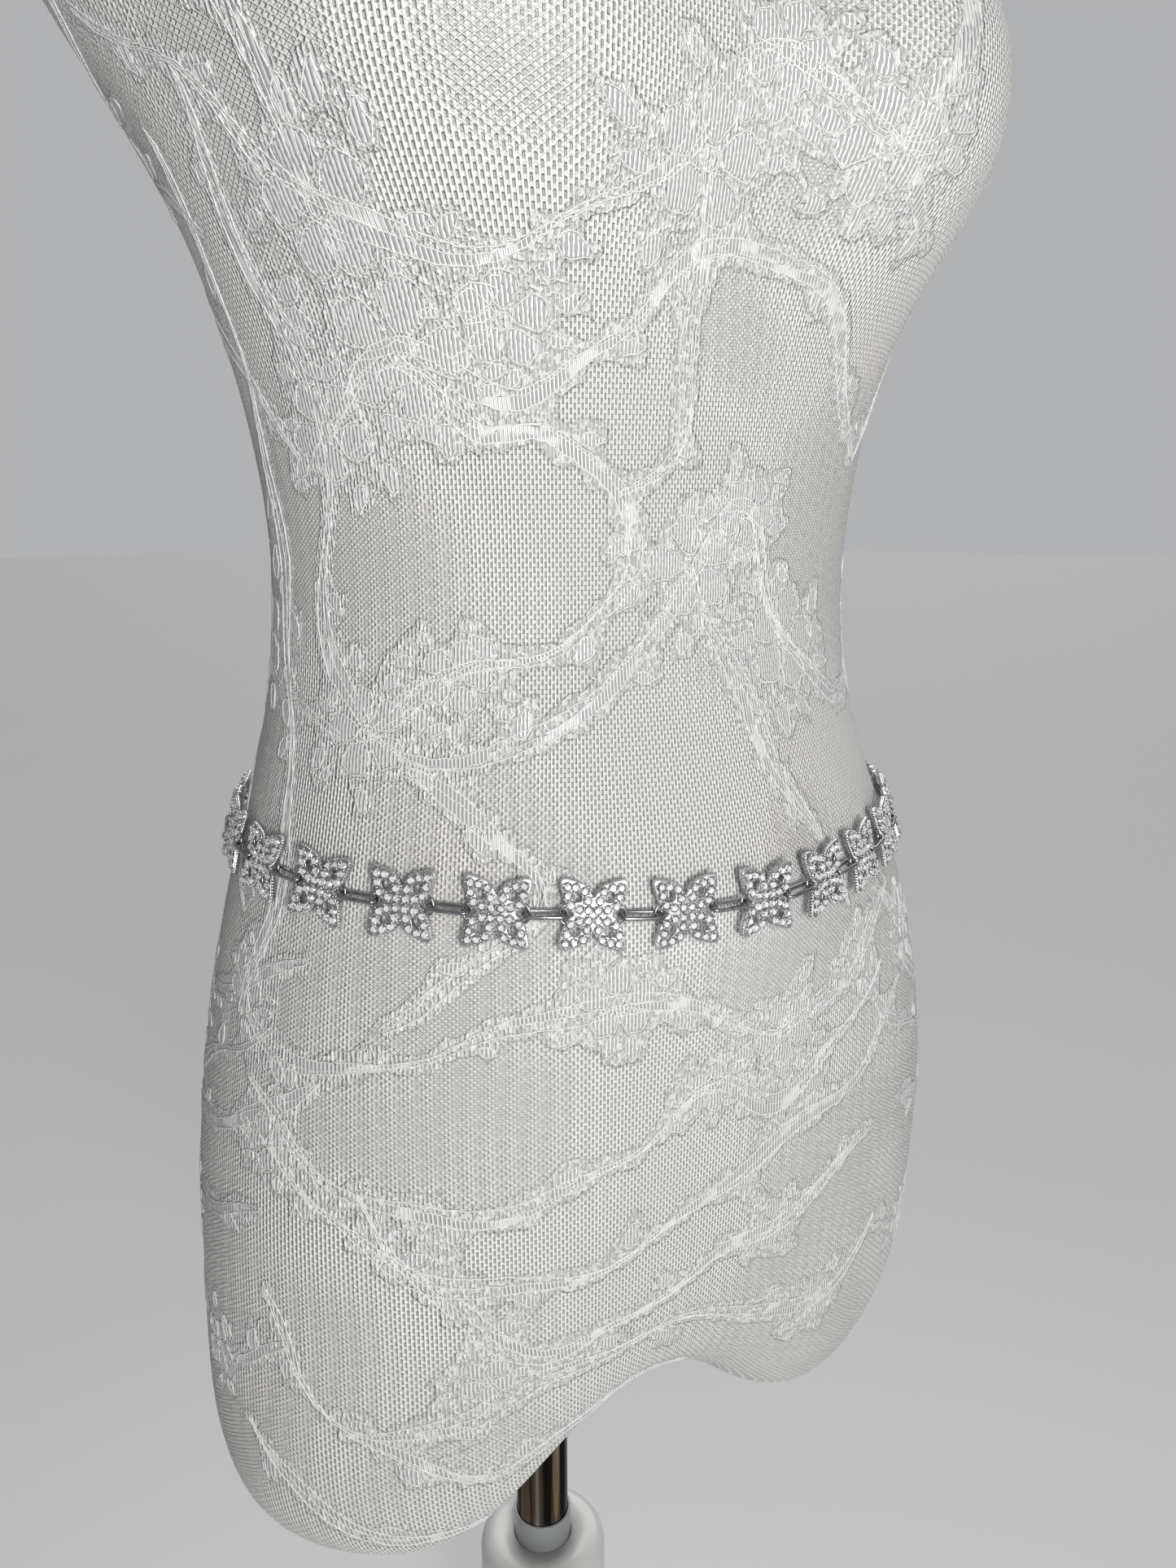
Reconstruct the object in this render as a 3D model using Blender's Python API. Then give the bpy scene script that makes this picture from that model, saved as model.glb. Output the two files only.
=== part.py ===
# A rhinestone chain belt on a limbless dress form, which stands on a round base. Metres, +Z up.
# The origin is the middle of the base's underside, and the form faces -Y.
import math

import bmesh
import bpy
import mathutils
import numpy as np

MM = 0.001

# Stand
BASE_RADIUS = 0.200
BASE_THICK = 0.012
BASE_EDGE = 0.004
COLUMN_OUTER = 0.0170
COLUMN_BORE = 0.0132
HUB_RADIUS = 0.0300
HUB_BORE = 0.0140
HUB_BOTTOM = 0.262
HUB_TOP = 0.3055
HUB_ROUND = 0.007
HUB_CROWN = 0.8
HUB_STEPS = 3
HUB_FOOT = 0.002
SLEEVE_OUTER = 0.0136
SLEEVE_BORE = 0.0124
SLEEVE_TOP = 0.3195
POLE_RADIUS = 0.0121
POLE_BOTTOM = 0.080
SOCKET_START = 0.420
SOCKET_TOP = 0.520
FIT_GAP = 0.0003
TUBE_AROUND = 32
BASE_AROUND = 48

# Dress form: the height of its waist, and how round its sections are
WAIST = 0.773
SECTION_POWER = 2.1
FORM_AROUND = 44
FORM_STEPS = (
    446, 440, 420, 398, 378, 364, 353, 344, 333, 322, 307, 290, 271, 250,
    225, 200, 178, 158, 140, 122, 104, 82, 56, 28, 0, -32, -60, -84, -106, -130,
    -158, -190, -225, -260, -288, -312, -332, -348, -359, -366,
)
# mm above the waist, half width, front depth, back depth, centre y, centre x
TORSO = (
    (446, 40, 38, 40, 14, 0),
    (440, 50, 48, 50, 14, 0),
    (405, 53, 50, 52, 10, 0),
    (382, 62, 56, 60, 6, 0),
    (366, 88, 64, 70, 3, 0),
    (347, 126, 72, 78, 0, 0),
    (322, 157, 80, 85, -3, 0),
    (292, 176, 88, 91, -7, -2),
    (262, 181, 94, 93, -10, -4),
    (235, 176, 96, 93, -13, -10),
    (200, 167, 97, 91, -16, -9),
    (170, 160, 97, 89, -19, -4),
    (140, 146, 96, 86, -20, 0),
    (110, 132, 95, 82, -20, 4),
    (75, 121, 92, 79, -20, 6),
    (40, 113, 88, 76, -20, 6),
    (0, 108, 85, 76, -20, 5),
    (-40, 111, 87, 80, -19, 5),
    (-75, 121, 95, 88, -17, 7),
    (-105, 132, 104, 100, -15, 10),
    (-140, 144, 108, 106, -13, 14),
    (-180, 154, 111, 112, -11, 17),
    (-225, 161, 111, 114, -10, 18),
    (-265, 162, 109, 108, -10, 17),
    (-300, 162, 106, 102, -11, 15),
    (-330, 159, 101, 96, -12, 14),
    (-352, 147, 88, 82, -13, 13),
    (-366, 122, 64, 58, -14, 12),
)
# Swellings, mm: how far out, the middle's x and height, the half width, the half height above and below it
BUST = {"out": 33, "x": 75, "level": 140, "wide": 57, "above": 58, "below": 50, "splay": 0.3, "round": 1.35}
SEAT = {"out": 17, "x": 70, "level": -215, "wide": 62, "tall": 80}
BELLY = {"out": 10, "level": -95, "wide": 60, "tall": 50}
# The hollow between the two leg stumps, mm: its height, middle, half width, squareness, and where it fades in
NOTCH = {"rise": 58, "x": -19, "wide": 54, "power": 2.7, "start": 211, "fade": 142}
UNDERSIDE_TILT = 0.09

# Belt, mm: its level from the waist at the pole's axis, its rise to back and side, its gap to the cover
BELT_LEVEL = -94.0
BELT_RISE_BACK = 0.063
BELT_RISE_SIDE = -0.013
BELT_GAP = 2.7
BELT_SAMPLES = 720
PROBE_ANGLE = 0.01
PROBE_HEIGHT = 2
LINKS = 24
PITCH = 29.5
FRONT_LINK = -53.0
LINK_CHORD = 8.0
SWING = 0.038
SWING_STEP = 2.4
SWING_START = 0.6
LEAN = 0.026
LEAN_STEP = 1.7

# Link: one quarter of its outline from the side notch to the top notch, and a petal's opening, mm
QUARTER = (
    (5.9, 0.0),
    (7.6, 1.55),
    (8.9, 4.0),
    (9.65, 6.2),
    (10.4, 9.2),
    (9.9, 10.75),
    (8.3, 10.95),
    (5.4, 10.15),
    (2.6, 9.0),
    (1.2, 7.3),
    (0.0, 5.3),
)
OPENING = ((3.75, 4.15), (5.5, 3.9), (6.45, 5.0), (6.25, 6.7), (4.9, 6.85), (3.9, 5.9))
LINK_THICK = 2.1
LOOP_REACH = 10.1
LOOP_PATH = ((7.8, 2.9), (9.5, 2.0), (LOOP_REACH, 0.0), (9.5, -2.0), (7.8, -2.9))
LOOP_WIRE = 0.475
LOOP_SIDES = 5

# Oval ring between two links, and the wire hook at the back, mm
RING_LONG = 6.25
RING_SHORT = 1.72
RING_WIRE = 0.75
RING_LEAN = 0.44
RING_END_STEPS = 5
RING_SIDES = 5
HOOK_HALF = 15.6
HOOK_BEND = 3.0
HOOK_WIRE = 0.75
HOOK_TIP = 5.0
HOOK_SIDES = 6


def clear_scene():
    for item in list(bpy.data.objects):
        bpy.data.objects.remove(item, do_unlink=True)


def material(name, colour, metallic, roughness):
    made = bpy.data.materials.new(name)
    made.use_nodes = True
    shader = made.node_tree.nodes["Principled BSDF"]
    shader.inputs["Base Color"].default_value = (*colour, 1.0)
    shader.inputs["Metallic"].default_value = metallic
    shader.inputs["Roughness"].default_value = roughness
    return made


def place(name, mesh, paint=None, matrix=None):
    item = bpy.data.objects.new(name, mesh)
    bpy.context.scene.collection.objects.link(item)
    if paint is not None:
        mesh.materials.append(paint)
    if matrix is not None:
        item.matrix_world = matrix
    return item


def mesh_of(name, points, faces, smooth=True):
    mesh = bpy.data.meshes.new(name)
    mesh.from_pydata([tuple(p) for p in points], [], faces)
    sheet = bmesh.new()
    sheet.from_mesh(mesh)
    bmesh.ops.recalc_face_normals(sheet, faces=sheet.faces)
    for face in sheet.faces:
        face.smooth = smooth
    sheet.to_mesh(mesh)
    sheet.free()
    return mesh


def turned(name, profile, around):
    """A closed ring of (radius, height) points spun about Z, or a capped solid where a radius is 0."""
    points = []
    rows = []
    for radius, height in profile:
        if radius == 0.0:
            rows.append([len(points)])
            points.append((0.0, 0.0, height))
            continue
        rows.append(list(range(len(points), len(points) + around)))
        for step in range(around):
            angle = 2 * math.pi * step / around
            points.append((radius * math.cos(angle), radius * math.sin(angle), height))
    closed = profile[0][0] > 0.0
    faces = []
    for index in range(len(rows) if closed else len(rows) - 1):
        low, high = rows[index], rows[(index + 1) % len(rows)]
        for step in range(around):
            after = (step + 1) % around
            if len(low) == 1:
                faces.append((low[0], high[step], high[after]))
            elif len(high) == 1:
                faces.append((low[step], low[after], high[0]))
            else:
                faces.append((low[step], low[after], high[after], high[step]))
    return mesh_of(name, points, faces)


def sweep(points, across, radius, sides, closed):
    """Points and faces of a round wire along a flat path; across is the normal of the path's plane."""
    path = [np.array(p, float) for p in points]
    across = np.array(across, float)
    count = len(path)
    verts = []
    for index, here in enumerate(path):
        before = path[index - 1] if closed or index else here
        after = path[(index + 1) % count] if closed or index < count - 1 else here
        along = after - before
        along /= np.linalg.norm(along)
        outward = np.cross(along, across)
        for side in range(sides):
            turn = 2 * math.pi * side / sides
            verts.append(here + radius * (math.cos(turn) * outward + math.sin(turn) * across))
    faces = []
    for index in range(count if closed else count - 1):
        start, end = index * sides, (index + 1) % count * sides
        for side in range(sides):
            after = (side + 1) % sides
            faces.append((start + side, start + after, end + after, end + side))
    if not closed:
        faces.append(tuple(range(sides)))
        faces.append(tuple(range((count - 1) * sides, count * sides)))
    return verts, faces


def level_value(height, column):
    """One column of TORSO at a height, by a cubic through its rows."""
    table = np.array(TORSO, float)[::-1]
    heights, values = table[:, 0], table[:, column]
    slopes = np.gradient(values, heights)
    row = int(np.clip(np.searchsorted(heights, height) - 1, 0, len(heights) - 2))
    span = heights[row + 1] - heights[row]
    t = (height - heights[row]) / span
    return (
        (2 * t**3 - 3 * t**2 + 1) * values[row]
        + (t**3 - 2 * t**2 + t) * span * slopes[row]
        + (3 * t**2 - 2 * t**3) * values[row + 1]
        + (t**3 - t**2) * span * slopes[row + 1]
    )


def bell(distance, width):
    return math.exp(-((distance / width) ** 2))


def skin(angle, height):
    """The cover's point, in mm from the waist on the pole's axis, at an angle about the section's middle."""
    wide, front, back, centre_y, centre_x = (level_value(height, k) for k in range(1, 6))
    cosine, sine = math.cos(angle), math.sin(angle)
    power = 2 / SECTION_POWER
    x = flat_x = wide * math.copysign(abs(cosine) ** power, cosine)
    depth = front if sine < 0 else back
    y = centre_y + depth * math.copysign(abs(sine) ** power, sine)
    for side in (-1, 1):
        if sine < 0:
            tall = BUST["above"] if height > BUST["level"] else BUST["below"]
            across = (flat_x - side * BUST["x"]) / BUST["wide"]
            apart = across**2 + ((height - BUST["level"]) / tall) ** 2
            swell = BUST["out"] * math.exp(-(apart ** BUST["round"]))
            y -= swell
            x += side * BUST["splay"] * swell
        else:
            across = bell(flat_x - side * SEAT["x"], SEAT["wide"])
            y += SEAT["out"] * across * bell(height - SEAT["level"], SEAT["tall"])
    if sine < 0:
        y -= BELLY["out"] * bell(flat_x, BELLY["wide"]) * bell(height - BELLY["level"], BELLY["tall"])
    fade = min(max((-height - NOTCH["start"]) / NOTCH["fade"], 0.0), 1.0)
    fade = fade * fade * (3 - 2 * fade)
    hollow = NOTCH["rise"] * math.exp(-(abs((x - NOTCH["x"]) / NOTCH["wide"]) ** NOTCH["power"]))
    raised = fade * (hollow + UNDERSIDE_TILT * x)
    return np.array((x + centre_x, y, height + raised))


def form_mesh():
    points = []
    for height in FORM_STEPS:
        for step in range(FORM_AROUND):
            x, y, z = skin(2 * math.pi * (step + 0.5) / FORM_AROUND, height)
            points.append((x * MM, y * MM, WAIST + z * MM))
    faces = []
    for row in range(len(FORM_STEPS) - 1):
        for step in range(FORM_AROUND):
            after = (step + 1) % FORM_AROUND
            high, low = row * FORM_AROUND, (row + 1) * FORM_AROUND
            faces.append((low + step, low + after, high + after, high + step))
    # The neck's top is flat. The underside is filled row by row between its left and right halves.
    faces.append(tuple(range(FORM_AROUND)))
    last = (len(FORM_STEPS) - 1) * FORM_AROUND
    quarter = FORM_AROUND // 4
    for step in range(quarter * 2 - 1):
        front = last + (2 * quarter + step) % FORM_AROUND
        front_after = last + (2 * quarter + step + 1) % FORM_AROUND
        back = last + (2 * quarter - 1 - step) % FORM_AROUND
        back_after = last + (2 * quarter - 2 - step) % FORM_AROUND
        faces.append((front, front_after, back_after, back))
    return mesh_of("dress_form", points, faces)


def belt_curve():
    """Points on the belt's line and the outward directions there, in mm, from the back's middle toward -X."""
    points = []
    normals = []
    for index in range(BELT_SAMPLES):
        angle = math.pi / 2 + 2 * math.pi * index / BELT_SAMPLES
        height = BELT_LEVEL
        for _ in range(5):
            here = skin(angle, height)
            height = BELT_LEVEL + BELT_RISE_BACK * here[1] + BELT_RISE_SIDE * here[0]
        here = skin(angle, height)
        along = skin(angle + PROBE_ANGLE, height) - skin(angle - PROBE_ANGLE, height)
        upward = skin(angle, height + PROBE_HEIGHT) - skin(angle, height - PROBE_HEIGHT)
        normal = np.cross(along, upward)
        normal /= np.linalg.norm(normal)
        points.append(here + BELT_GAP * normal)
        normals.append(normal)
    return np.array(points), np.array(normals)


class BeltLine:
    """The belt's closed line, read by the distance along it."""

    def __init__(self):
        points, normals = belt_curve()
        self.points = np.vstack((points, points[:1]))
        self.normals = np.vstack((normals, normals[:1]))
        steps = np.linalg.norm(np.diff(self.points, axis=0), axis=1)
        self.lengths = np.concatenate(([0.0], np.cumsum(steps)))
        self.total = self.lengths[-1]
        self.first = self.lengths[BELT_SAMPLES // 2] + FRONT_LINK - (LINKS // 2 - 2) * PITCH

    def read(self, table, distance):
        distance %= self.total
        return np.array([np.interp(distance, self.lengths, table[:, k]) for k in range(3)])

    def frame(self, distance, reach):
        """Origin and the along, up and outward directions at a distance, level with its chord over reach."""
        origin = self.read(self.points, distance)
        chord = self.read(self.points, distance + reach) - self.read(self.points, distance - reach)
        return straight_frame(origin, chord, self.read(self.normals, distance))


def straight_frame(origin, along, outward):
    along = along / np.linalg.norm(along)
    upward = np.cross(outward, along)
    upward /= np.linalg.norm(upward)
    return origin, along, upward, np.cross(along, upward)


def swung(frame, swing, lean):
    """The frame turned a little in its own plane, then leaned a little about its along axis."""
    origin, along, upward, outward = frame
    along, upward = (
        math.cos(swing) * along + math.sin(swing) * upward,
        math.cos(swing) * upward - math.sin(swing) * along,
    )
    upward, outward = (
        math.cos(lean) * upward + math.sin(lean) * outward,
        math.cos(lean) * outward - math.sin(lean) * upward,
    )
    return origin, along, upward, outward


def link_frames(line):
    """Frames of the links, link_01 first, on the -X side of the back."""
    frames = []
    for index in range(LINKS):
        frame = line.frame(line.first + index * PITCH, LINK_CHORD)
        swing = SWING * math.sin(SWING_STEP * index + SWING_START)
        frames.append(swung(frame, swing, LEAN * math.sin(LEAN_STEP * index)))
    return frames


def hook_frame(line):
    gap = line.total - (LINKS - 1) * PITCH
    return line.frame(line.first - gap / 2, HOOK_HALF)


def ring_between(start, end, outward):
    return swung(straight_frame((start + end) / 2, end - start, outward), 0.0, RING_LEAN)


def ring_frames(line, frames):
    """Frames of the rings: one between each two links, then the two beside the hook."""
    rings = []
    for before, after in zip(frames, frames[1:]):
        start = before[0] + LOOP_REACH * before[1]
        end = after[0] - LOOP_REACH * after[1]
        rings.append(ring_between(start, end, before[3] + after[3]))
    hook = hook_frame(line)
    last, first = frames[-1], frames[0]
    tail = last[0] + LOOP_REACH * last[1]
    rings.append(ring_between(tail, hook[0] - HOOK_HALF * hook[1], last[3] + hook[3]))
    head = first[0] - LOOP_REACH * first[1]
    rings.append(ring_between(hook[0] + HOOK_HALF * hook[1], head, first[3] + hook[3]))
    return rings


def matrix_of(frame):
    origin, along, upward, outward = frame
    made = mathutils.Matrix.Identity(4)
    for row in range(3):
        made[row][0] = along[row]
        made[row][1] = upward[row]
        made[row][2] = outward[row]
        made[row][3] = origin[row] * MM
    made[2][3] += WAIST
    return made


def mirrored(quarter):
    """The whole outline, counter-clockwise, from one quarter that runs from the side to the top."""
    right_up = list(quarter)
    left_up = [(-x, y) for x, y in reversed(quarter[:-1])]
    upper = right_up + left_up
    lower = [(x, -y) for x, y in reversed(upper[1:-1])]
    return upper + lower


def link_plate():
    """The cut-out plate in mm, its middle plane at 0."""
    outline = mirrored(QUARTER)
    holes = []
    for flip_x in (1, -1):
        for flip_y in (1, -1):
            holes.append([(flip_x * x, flip_y * y) for x, y in OPENING])
    loops = [outline, *holes]
    flat = [point for loop in loops for point in loop]
    rims = [[mathutils.Vector((*p, 0)) for p in loop] for loop in loops]
    fill = mathutils.geometry.tessellate_polygon(rims)
    count = len(flat)
    points = [(x, y, -LINK_THICK / 2) for x, y in flat] + [(x, y, LINK_THICK / 2) for x, y in flat]
    faces = [tuple(face) for face in fill] + [tuple(k + count for k in face) for face in fill]
    start = 0
    for loop in loops:
        for step in range(len(loop)):
            here, after = start + step, start + (step + 1) % len(loop)
            faces.append((here, after, after + count, here + count))
        start += len(loop)
    return points, faces


def link_mesh():
    """The plate joined to its two side loops, as one closed mesh that every link shares."""
    points, faces = link_plate()
    plate = place("plate_helper", mesh_of("plate_helper", np.array(points) * MM, faces, False))
    for side in (1, -1):
        path = [(side * x, y, 0) for x, y in LOOP_PATH]
        wire, wire_faces = sweep(path, (0, 0, 1), LOOP_WIRE, LOOP_SIDES, False)
        name = "loop_helper_right" if side > 0 else "loop_helper_left"
        tool = place(name, mesh_of(name, np.array(wire) * MM, wire_faces))
        tool.hide_render = True
        tool.display_type = "WIRE"
        join = plate.modifiers.new("join", "BOOLEAN")
        join.operation = "UNION"
        join.solver = "EXACT"
        join.object = tool
    graph = bpy.context.evaluated_depsgraph_get()
    mesh = bpy.data.meshes.new_from_object(plate.evaluated_get(graph))
    mesh.name = "link"
    for item in list(bpy.data.objects):
        bpy.data.objects.remove(item, do_unlink=True)
    return mesh


def ring_mesh():
    """An oval ring with straight sides and round ends, in the plane of its along and outward directions."""
    path = []
    for end in (1, -1):
        for step in range(RING_END_STEPS + 1):
            turn = math.pi * (step / RING_END_STEPS - 0.5)
            x = RING_LONG - RING_SHORT + RING_SHORT * math.cos(turn)
            path.append((end * x, 0.0, end * RING_SHORT * math.sin(turn)))
    points, faces = sweep(path, (0, 1, 0), RING_WIRE, RING_SIDES, True)
    return mesh_of("ring", np.array(points) * MM, faces)


def hook_mesh():
    """A wire hook: a closed eye toward its start, an open bend toward its end."""
    middle = HOOK_HALF - HOOK_BEND
    path = []
    for degrees in (5, -40, -85, -130, -175, -220, -270):
        turn = math.radians(degrees)
        path.append((-middle + HOOK_BEND * math.cos(turn), HOOK_BEND * math.sin(turn), 0))
    for degrees in (90, 45, 0, -45, -90):
        turn = math.radians(degrees)
        path.append((middle + HOOK_BEND * math.cos(turn), HOOK_BEND * math.sin(turn), 0))
    path.append((HOOK_TIP, -HOOK_BEND, 0))
    points, faces = sweep(path, (0, 0, 1), HOOK_WIRE, HOOK_SIDES, False)
    return mesh_of("hook", np.array(points) * MM, faces)


def build_belt():
    silver = material("cast_link_metal", (0.74, 0.74, 0.75), 1.0, 0.3)
    dark = material("ring_metal", (0.42, 0.42, 0.44), 1.0, 0.18)
    wire = material("hook_metal", (0.55, 0.55, 0.57), 1.0, 0.22)
    line = BeltLine()
    frames = link_frames(line)
    mesh = link_mesh()
    mesh.materials.append(silver)
    for index, frame in enumerate(frames):
        place(f"link_{index + 1:02d}", mesh, None, matrix_of(frame))
    oval = ring_mesh()
    oval.materials.append(dark)
    for index, frame in enumerate(ring_frames(line, frames)):
        place(f"ring_{index + 1:02d}", oval, None, matrix_of(frame))
    place("back_hook", hook_mesh(), wire, matrix_of(hook_frame(line)))


def build_form():
    cover = material("form_cover", (0.82, 0.81, 0.78), 0.0, 0.85)
    form = place("dress_form", form_mesh(), cover)
    low, high = WAIST - SOCKET_START, SOCKET_TOP
    reach = POLE_RADIUS + FIT_GAP
    profile = ((0.0, low), (reach, low), (reach, high), (0.0, high))
    cutter = place("socket_helper", turned("socket_helper", profile, TUBE_AROUND))
    cutter.hide_render = True
    cutter.display_type = "WIRE"
    socket = form.modifiers.new("socket", "BOOLEAN")
    socket.operation = "DIFFERENCE"
    socket.solver = "EXACT"
    socket.object = cutter


def build_stand():
    top = BASE_THICK
    edge = BASE_EDGE
    profile = ((0.0, 0.0), (BASE_RADIUS - edge / 2, 0.0), (BASE_RADIUS, edge / 2))
    profile += ((BASE_RADIUS, top - edge), (BASE_RADIUS - edge, top), (0.0, top))
    white = material("base_white", (0.80, 0.80, 0.80), 0.0, 0.35)
    place("base", turned("base", profile, BASE_AROUND), white)
    foot, head = top + FIT_GAP, HUB_BOTTOM - FIT_GAP
    tube = ((COLUMN_BORE, foot), (COLUMN_OUTER, foot), (COLUMN_OUTER, head), (COLUMN_BORE, head))
    paint = material("column_white", (0.78, 0.78, 0.79), 0.0, 0.35)
    place("column", turned("column", tube, TUBE_AROUND), paint)
    hub = [(HUB_BORE, HUB_BOTTOM), (HUB_RADIUS - HUB_FOOT, HUB_BOTTOM), (HUB_RADIUS, HUB_BOTTOM + HUB_FOOT)]
    for step in range(HUB_STEPS + 1):
        turn = math.pi / 2 * step / HUB_STEPS
        radius = HUB_RADIUS - HUB_ROUND * (1 - math.cos(turn))
        hub.append((radius, HUB_TOP - HUB_ROUND + HUB_CROWN * HUB_ROUND * math.sin(turn)))
    hub.append((HUB_BORE, HUB_TOP))
    place("hub", turned("hub", hub, TUBE_AROUND), material("hub_white", (0.80, 0.80, 0.79), 0.0, 0.3))
    low = HUB_BOTTOM
    sleeve = ((SLEEVE_BORE, low), (SLEEVE_OUTER, low), (SLEEVE_OUTER, SLEEVE_TOP), (SLEEVE_BORE, SLEEVE_TOP))
    grey = material("sleeve_grey", (0.45, 0.46, 0.47), 0.0, 0.2)
    place("sleeve", turned("sleeve", sleeve, TUBE_AROUND), grey)
    pole_top = SOCKET_TOP - FIT_GAP
    pole = ((0.0, POLE_BOTTOM), (POLE_RADIUS, POLE_BOTTOM), (POLE_RADIUS, pole_top), (0.0, pole_top))
    place("pole", turned("pole", pole, TUBE_AROUND), material("pole_chrome", (0.75, 0.75, 0.76), 1.0, 0.08))


clear_scene()
build_belt()
build_form()
build_stand()
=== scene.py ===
import math
import random

import bmesh
import bpy
import numpy as np
from mathutils import Matrix, Vector
from mathutils.bvhtree import BVHTree
from mathutils.kdtree import KDTree


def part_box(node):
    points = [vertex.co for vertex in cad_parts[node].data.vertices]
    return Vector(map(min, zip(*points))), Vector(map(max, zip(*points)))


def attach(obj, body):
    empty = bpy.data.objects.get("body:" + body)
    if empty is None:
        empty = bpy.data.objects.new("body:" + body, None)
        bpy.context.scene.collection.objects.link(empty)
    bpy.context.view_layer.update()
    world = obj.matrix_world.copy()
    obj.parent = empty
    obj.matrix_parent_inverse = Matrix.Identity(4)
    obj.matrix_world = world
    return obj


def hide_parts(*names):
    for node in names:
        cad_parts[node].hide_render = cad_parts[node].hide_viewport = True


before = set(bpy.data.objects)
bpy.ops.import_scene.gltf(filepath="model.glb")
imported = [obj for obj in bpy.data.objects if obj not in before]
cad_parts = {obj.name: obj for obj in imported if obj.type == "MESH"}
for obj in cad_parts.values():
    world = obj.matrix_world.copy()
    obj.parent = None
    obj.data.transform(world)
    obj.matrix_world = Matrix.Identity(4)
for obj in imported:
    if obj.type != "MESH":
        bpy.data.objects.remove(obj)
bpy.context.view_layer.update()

bl_info = {
    "name": "Rhinestone Chain Belt on a Dress Form",
    "version": (1, 0, 0),
    "blender": (4, 5, 0),
    "location": "View3D > Sidebar > Chain Belt",
    "description": "Dresses the packed belt, form and stand with finished pieces, materials and stage",
    "category": "Object",
}

MM = 0.001
WAIST = 0.773
SECTION_POWER = 2.1
# The form's levels near the belt, mm: above the waist, half width, front and back depth, centre y and x
TORSO = (
    (-40, 111, 87, 80, -19, 5),
    (-75, 121, 95, 88, -17, 7),
    (-105, 132, 104, 100, -15, 10),
    (-140, 144, 108, 106, -13, 14),
    (-180, 154, 111, 112, -11, 17),
)
SEAT = {"out": 17, "x": 70, "level": -215, "wide": 62, "tall": 80}
BELLY = {"out": 10, "level": -95, "wide": 60, "tall": 50}
BELT_LEVEL = -94.0
BELT_RISE_BACK = 0.063
BELT_RISE_SIDE = -0.013
BELT_GAP = 2.7
BELT_SAMPLES = 720
LINKS = 24
PITCH = 29.5
FRONT_LINK = -53.0
# How far and how often the links hang out of line, in radians
SWING = 0.038
SWING_STEP = 2.4
SWING_START = 0.6
LEAN = 0.026
LEAN_STEP = 1.7
LINK_CHORD = 8.0
# How far from a point the skin is read for its normal, radians and mm
PROBE_ANGLE = 0.01
PROBE_HEIGHT = 2
LOOP_REACH = 10.1
HOOK_HALF = 15.6
HOOK_BEND = 3.0
HOOK_TIP = 5.0
RING_LONG = 6.25
RING_SHORT = 1.72
RING_LEAN = 0.44
LINK_THICK = 2.1
# One quarter of the link's outline from the side notch to the top notch, and one petal's opening, mm
QUARTER = (
    (5.9, 0.0),
    (7.6, 1.55),
    (8.9, 4.0),
    (9.65, 6.2),
    (10.4, 9.2),
    (9.9, 10.75),
    (8.3, 10.95),
    (5.4, 10.15),
    (2.6, 9.0),
    (1.2, 7.3),
    (0.0, 5.3),
)
OPENING = ((3.75, 4.15), (5.5, 3.9), (6.45, 5.0), (6.25, 6.7), (4.9, 6.85), (3.9, 5.9))
# Where each of a link's metals stands in its list of materials
# The second metal, darker, is painted shade on the plate's top and on the cups round the stones.
CAST, SHADED_BED, WIRE = range(3)
# The middles of the stones in one quarter of a link, mm
STONES = (
    (8.3, 8.75),
    (5.65, 8.55),
    (2.9, 7.45),
    (8.0, 5.95),
    (1.85, 4.5),
    (7.05, 3.0),
    (4.3, 1.85),
    (1.45, 1.55),
)
# Half of a side loop's wire, from the plate to its middle, and the wires' radii, mm
SIDE_LOOP = ((7.6, 3.1), (8.6, 2.85), (9.5, 2.2), (LOOP_REACH, 1.0))
LOOP_WIRE = 0.475
HOOK_WIRE = 0.75
# The cut where a ring's wire was closed, the plate's softened edge and the radius of its wall's bars, mm
RING_CUT = 0.07
PLATE_BEVEL = 0.14
FLUTE_RADIUS = 0.30
STONE_TALL = 0.56
# A stone's height over the plate, its tip in radians, and its table's share of its width and dip
STONE_LIFT = 0.66
STONE_TIP = 0.09
TABLE_SHARE = 0.66
TABLE_DIP = 0.07
# A cup's height over the plate and how much wider than its stone it is; a bead's height and distances
CUP_LIFT = 0.22
CUP_FOOT = 0.26
CUP_LIP = 0.14
BEAD_LIFT = 0.52
BEAD_OUT = 0.2
BEAD_CLEAR = 0.12
BEAD_APART = 0.5
# The stand's bores and how far the hub's rim lies below its crown, metres
HUB_BORE = 0.0140
SLEEVE_BORE = 0.0124
COLUMN_BORE = 0.0132
HUB_CROWN = 0.0015
# The camera of the photo: degrees round and down, lens and sensor in mm, and its place in metres
CAMERA_YAW = 30.0
CAMERA_PITCH = 15.0
CAMERA_LENS = 27.0
CAMERA_SENSOR = 36.0
CAMERA_BACK = 0.46
CAMERA_ASIDE = 0.022
CAMERA_HEIGHT = 0.804
# Where the lights point, and the way from the form to the sky light, whose width is in degrees
LIGHTS_AIM = (0.0, 0.0, 0.70)
SKY_WAY = (0.45, 0.55, 0.70)
SKY_ANGLE = 50.0
FLOOR_RADIUS = 12.0
WHITE_LIGHT = (1.0, 1.0, 1.0)

# How far each repeat of the lace is turned round the form, and whether it is mirrored
REPEATS = ((0, 1), (125, -1), (243, 1))
REPEAT_MIDDLE = 252
# A vine's cords in mm: the steps along them, their gaps, their sway and shake; and steps in a patch of bars
THREAD_STEP = 1.6
LANE_LEAST = 0.3
LANE_GAP = 1.9
LANE_SWELL = 1.7
LANE_SWAY = 1.6
LANE_SHAKE = 0.32
BAR_RUN = 7
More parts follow.
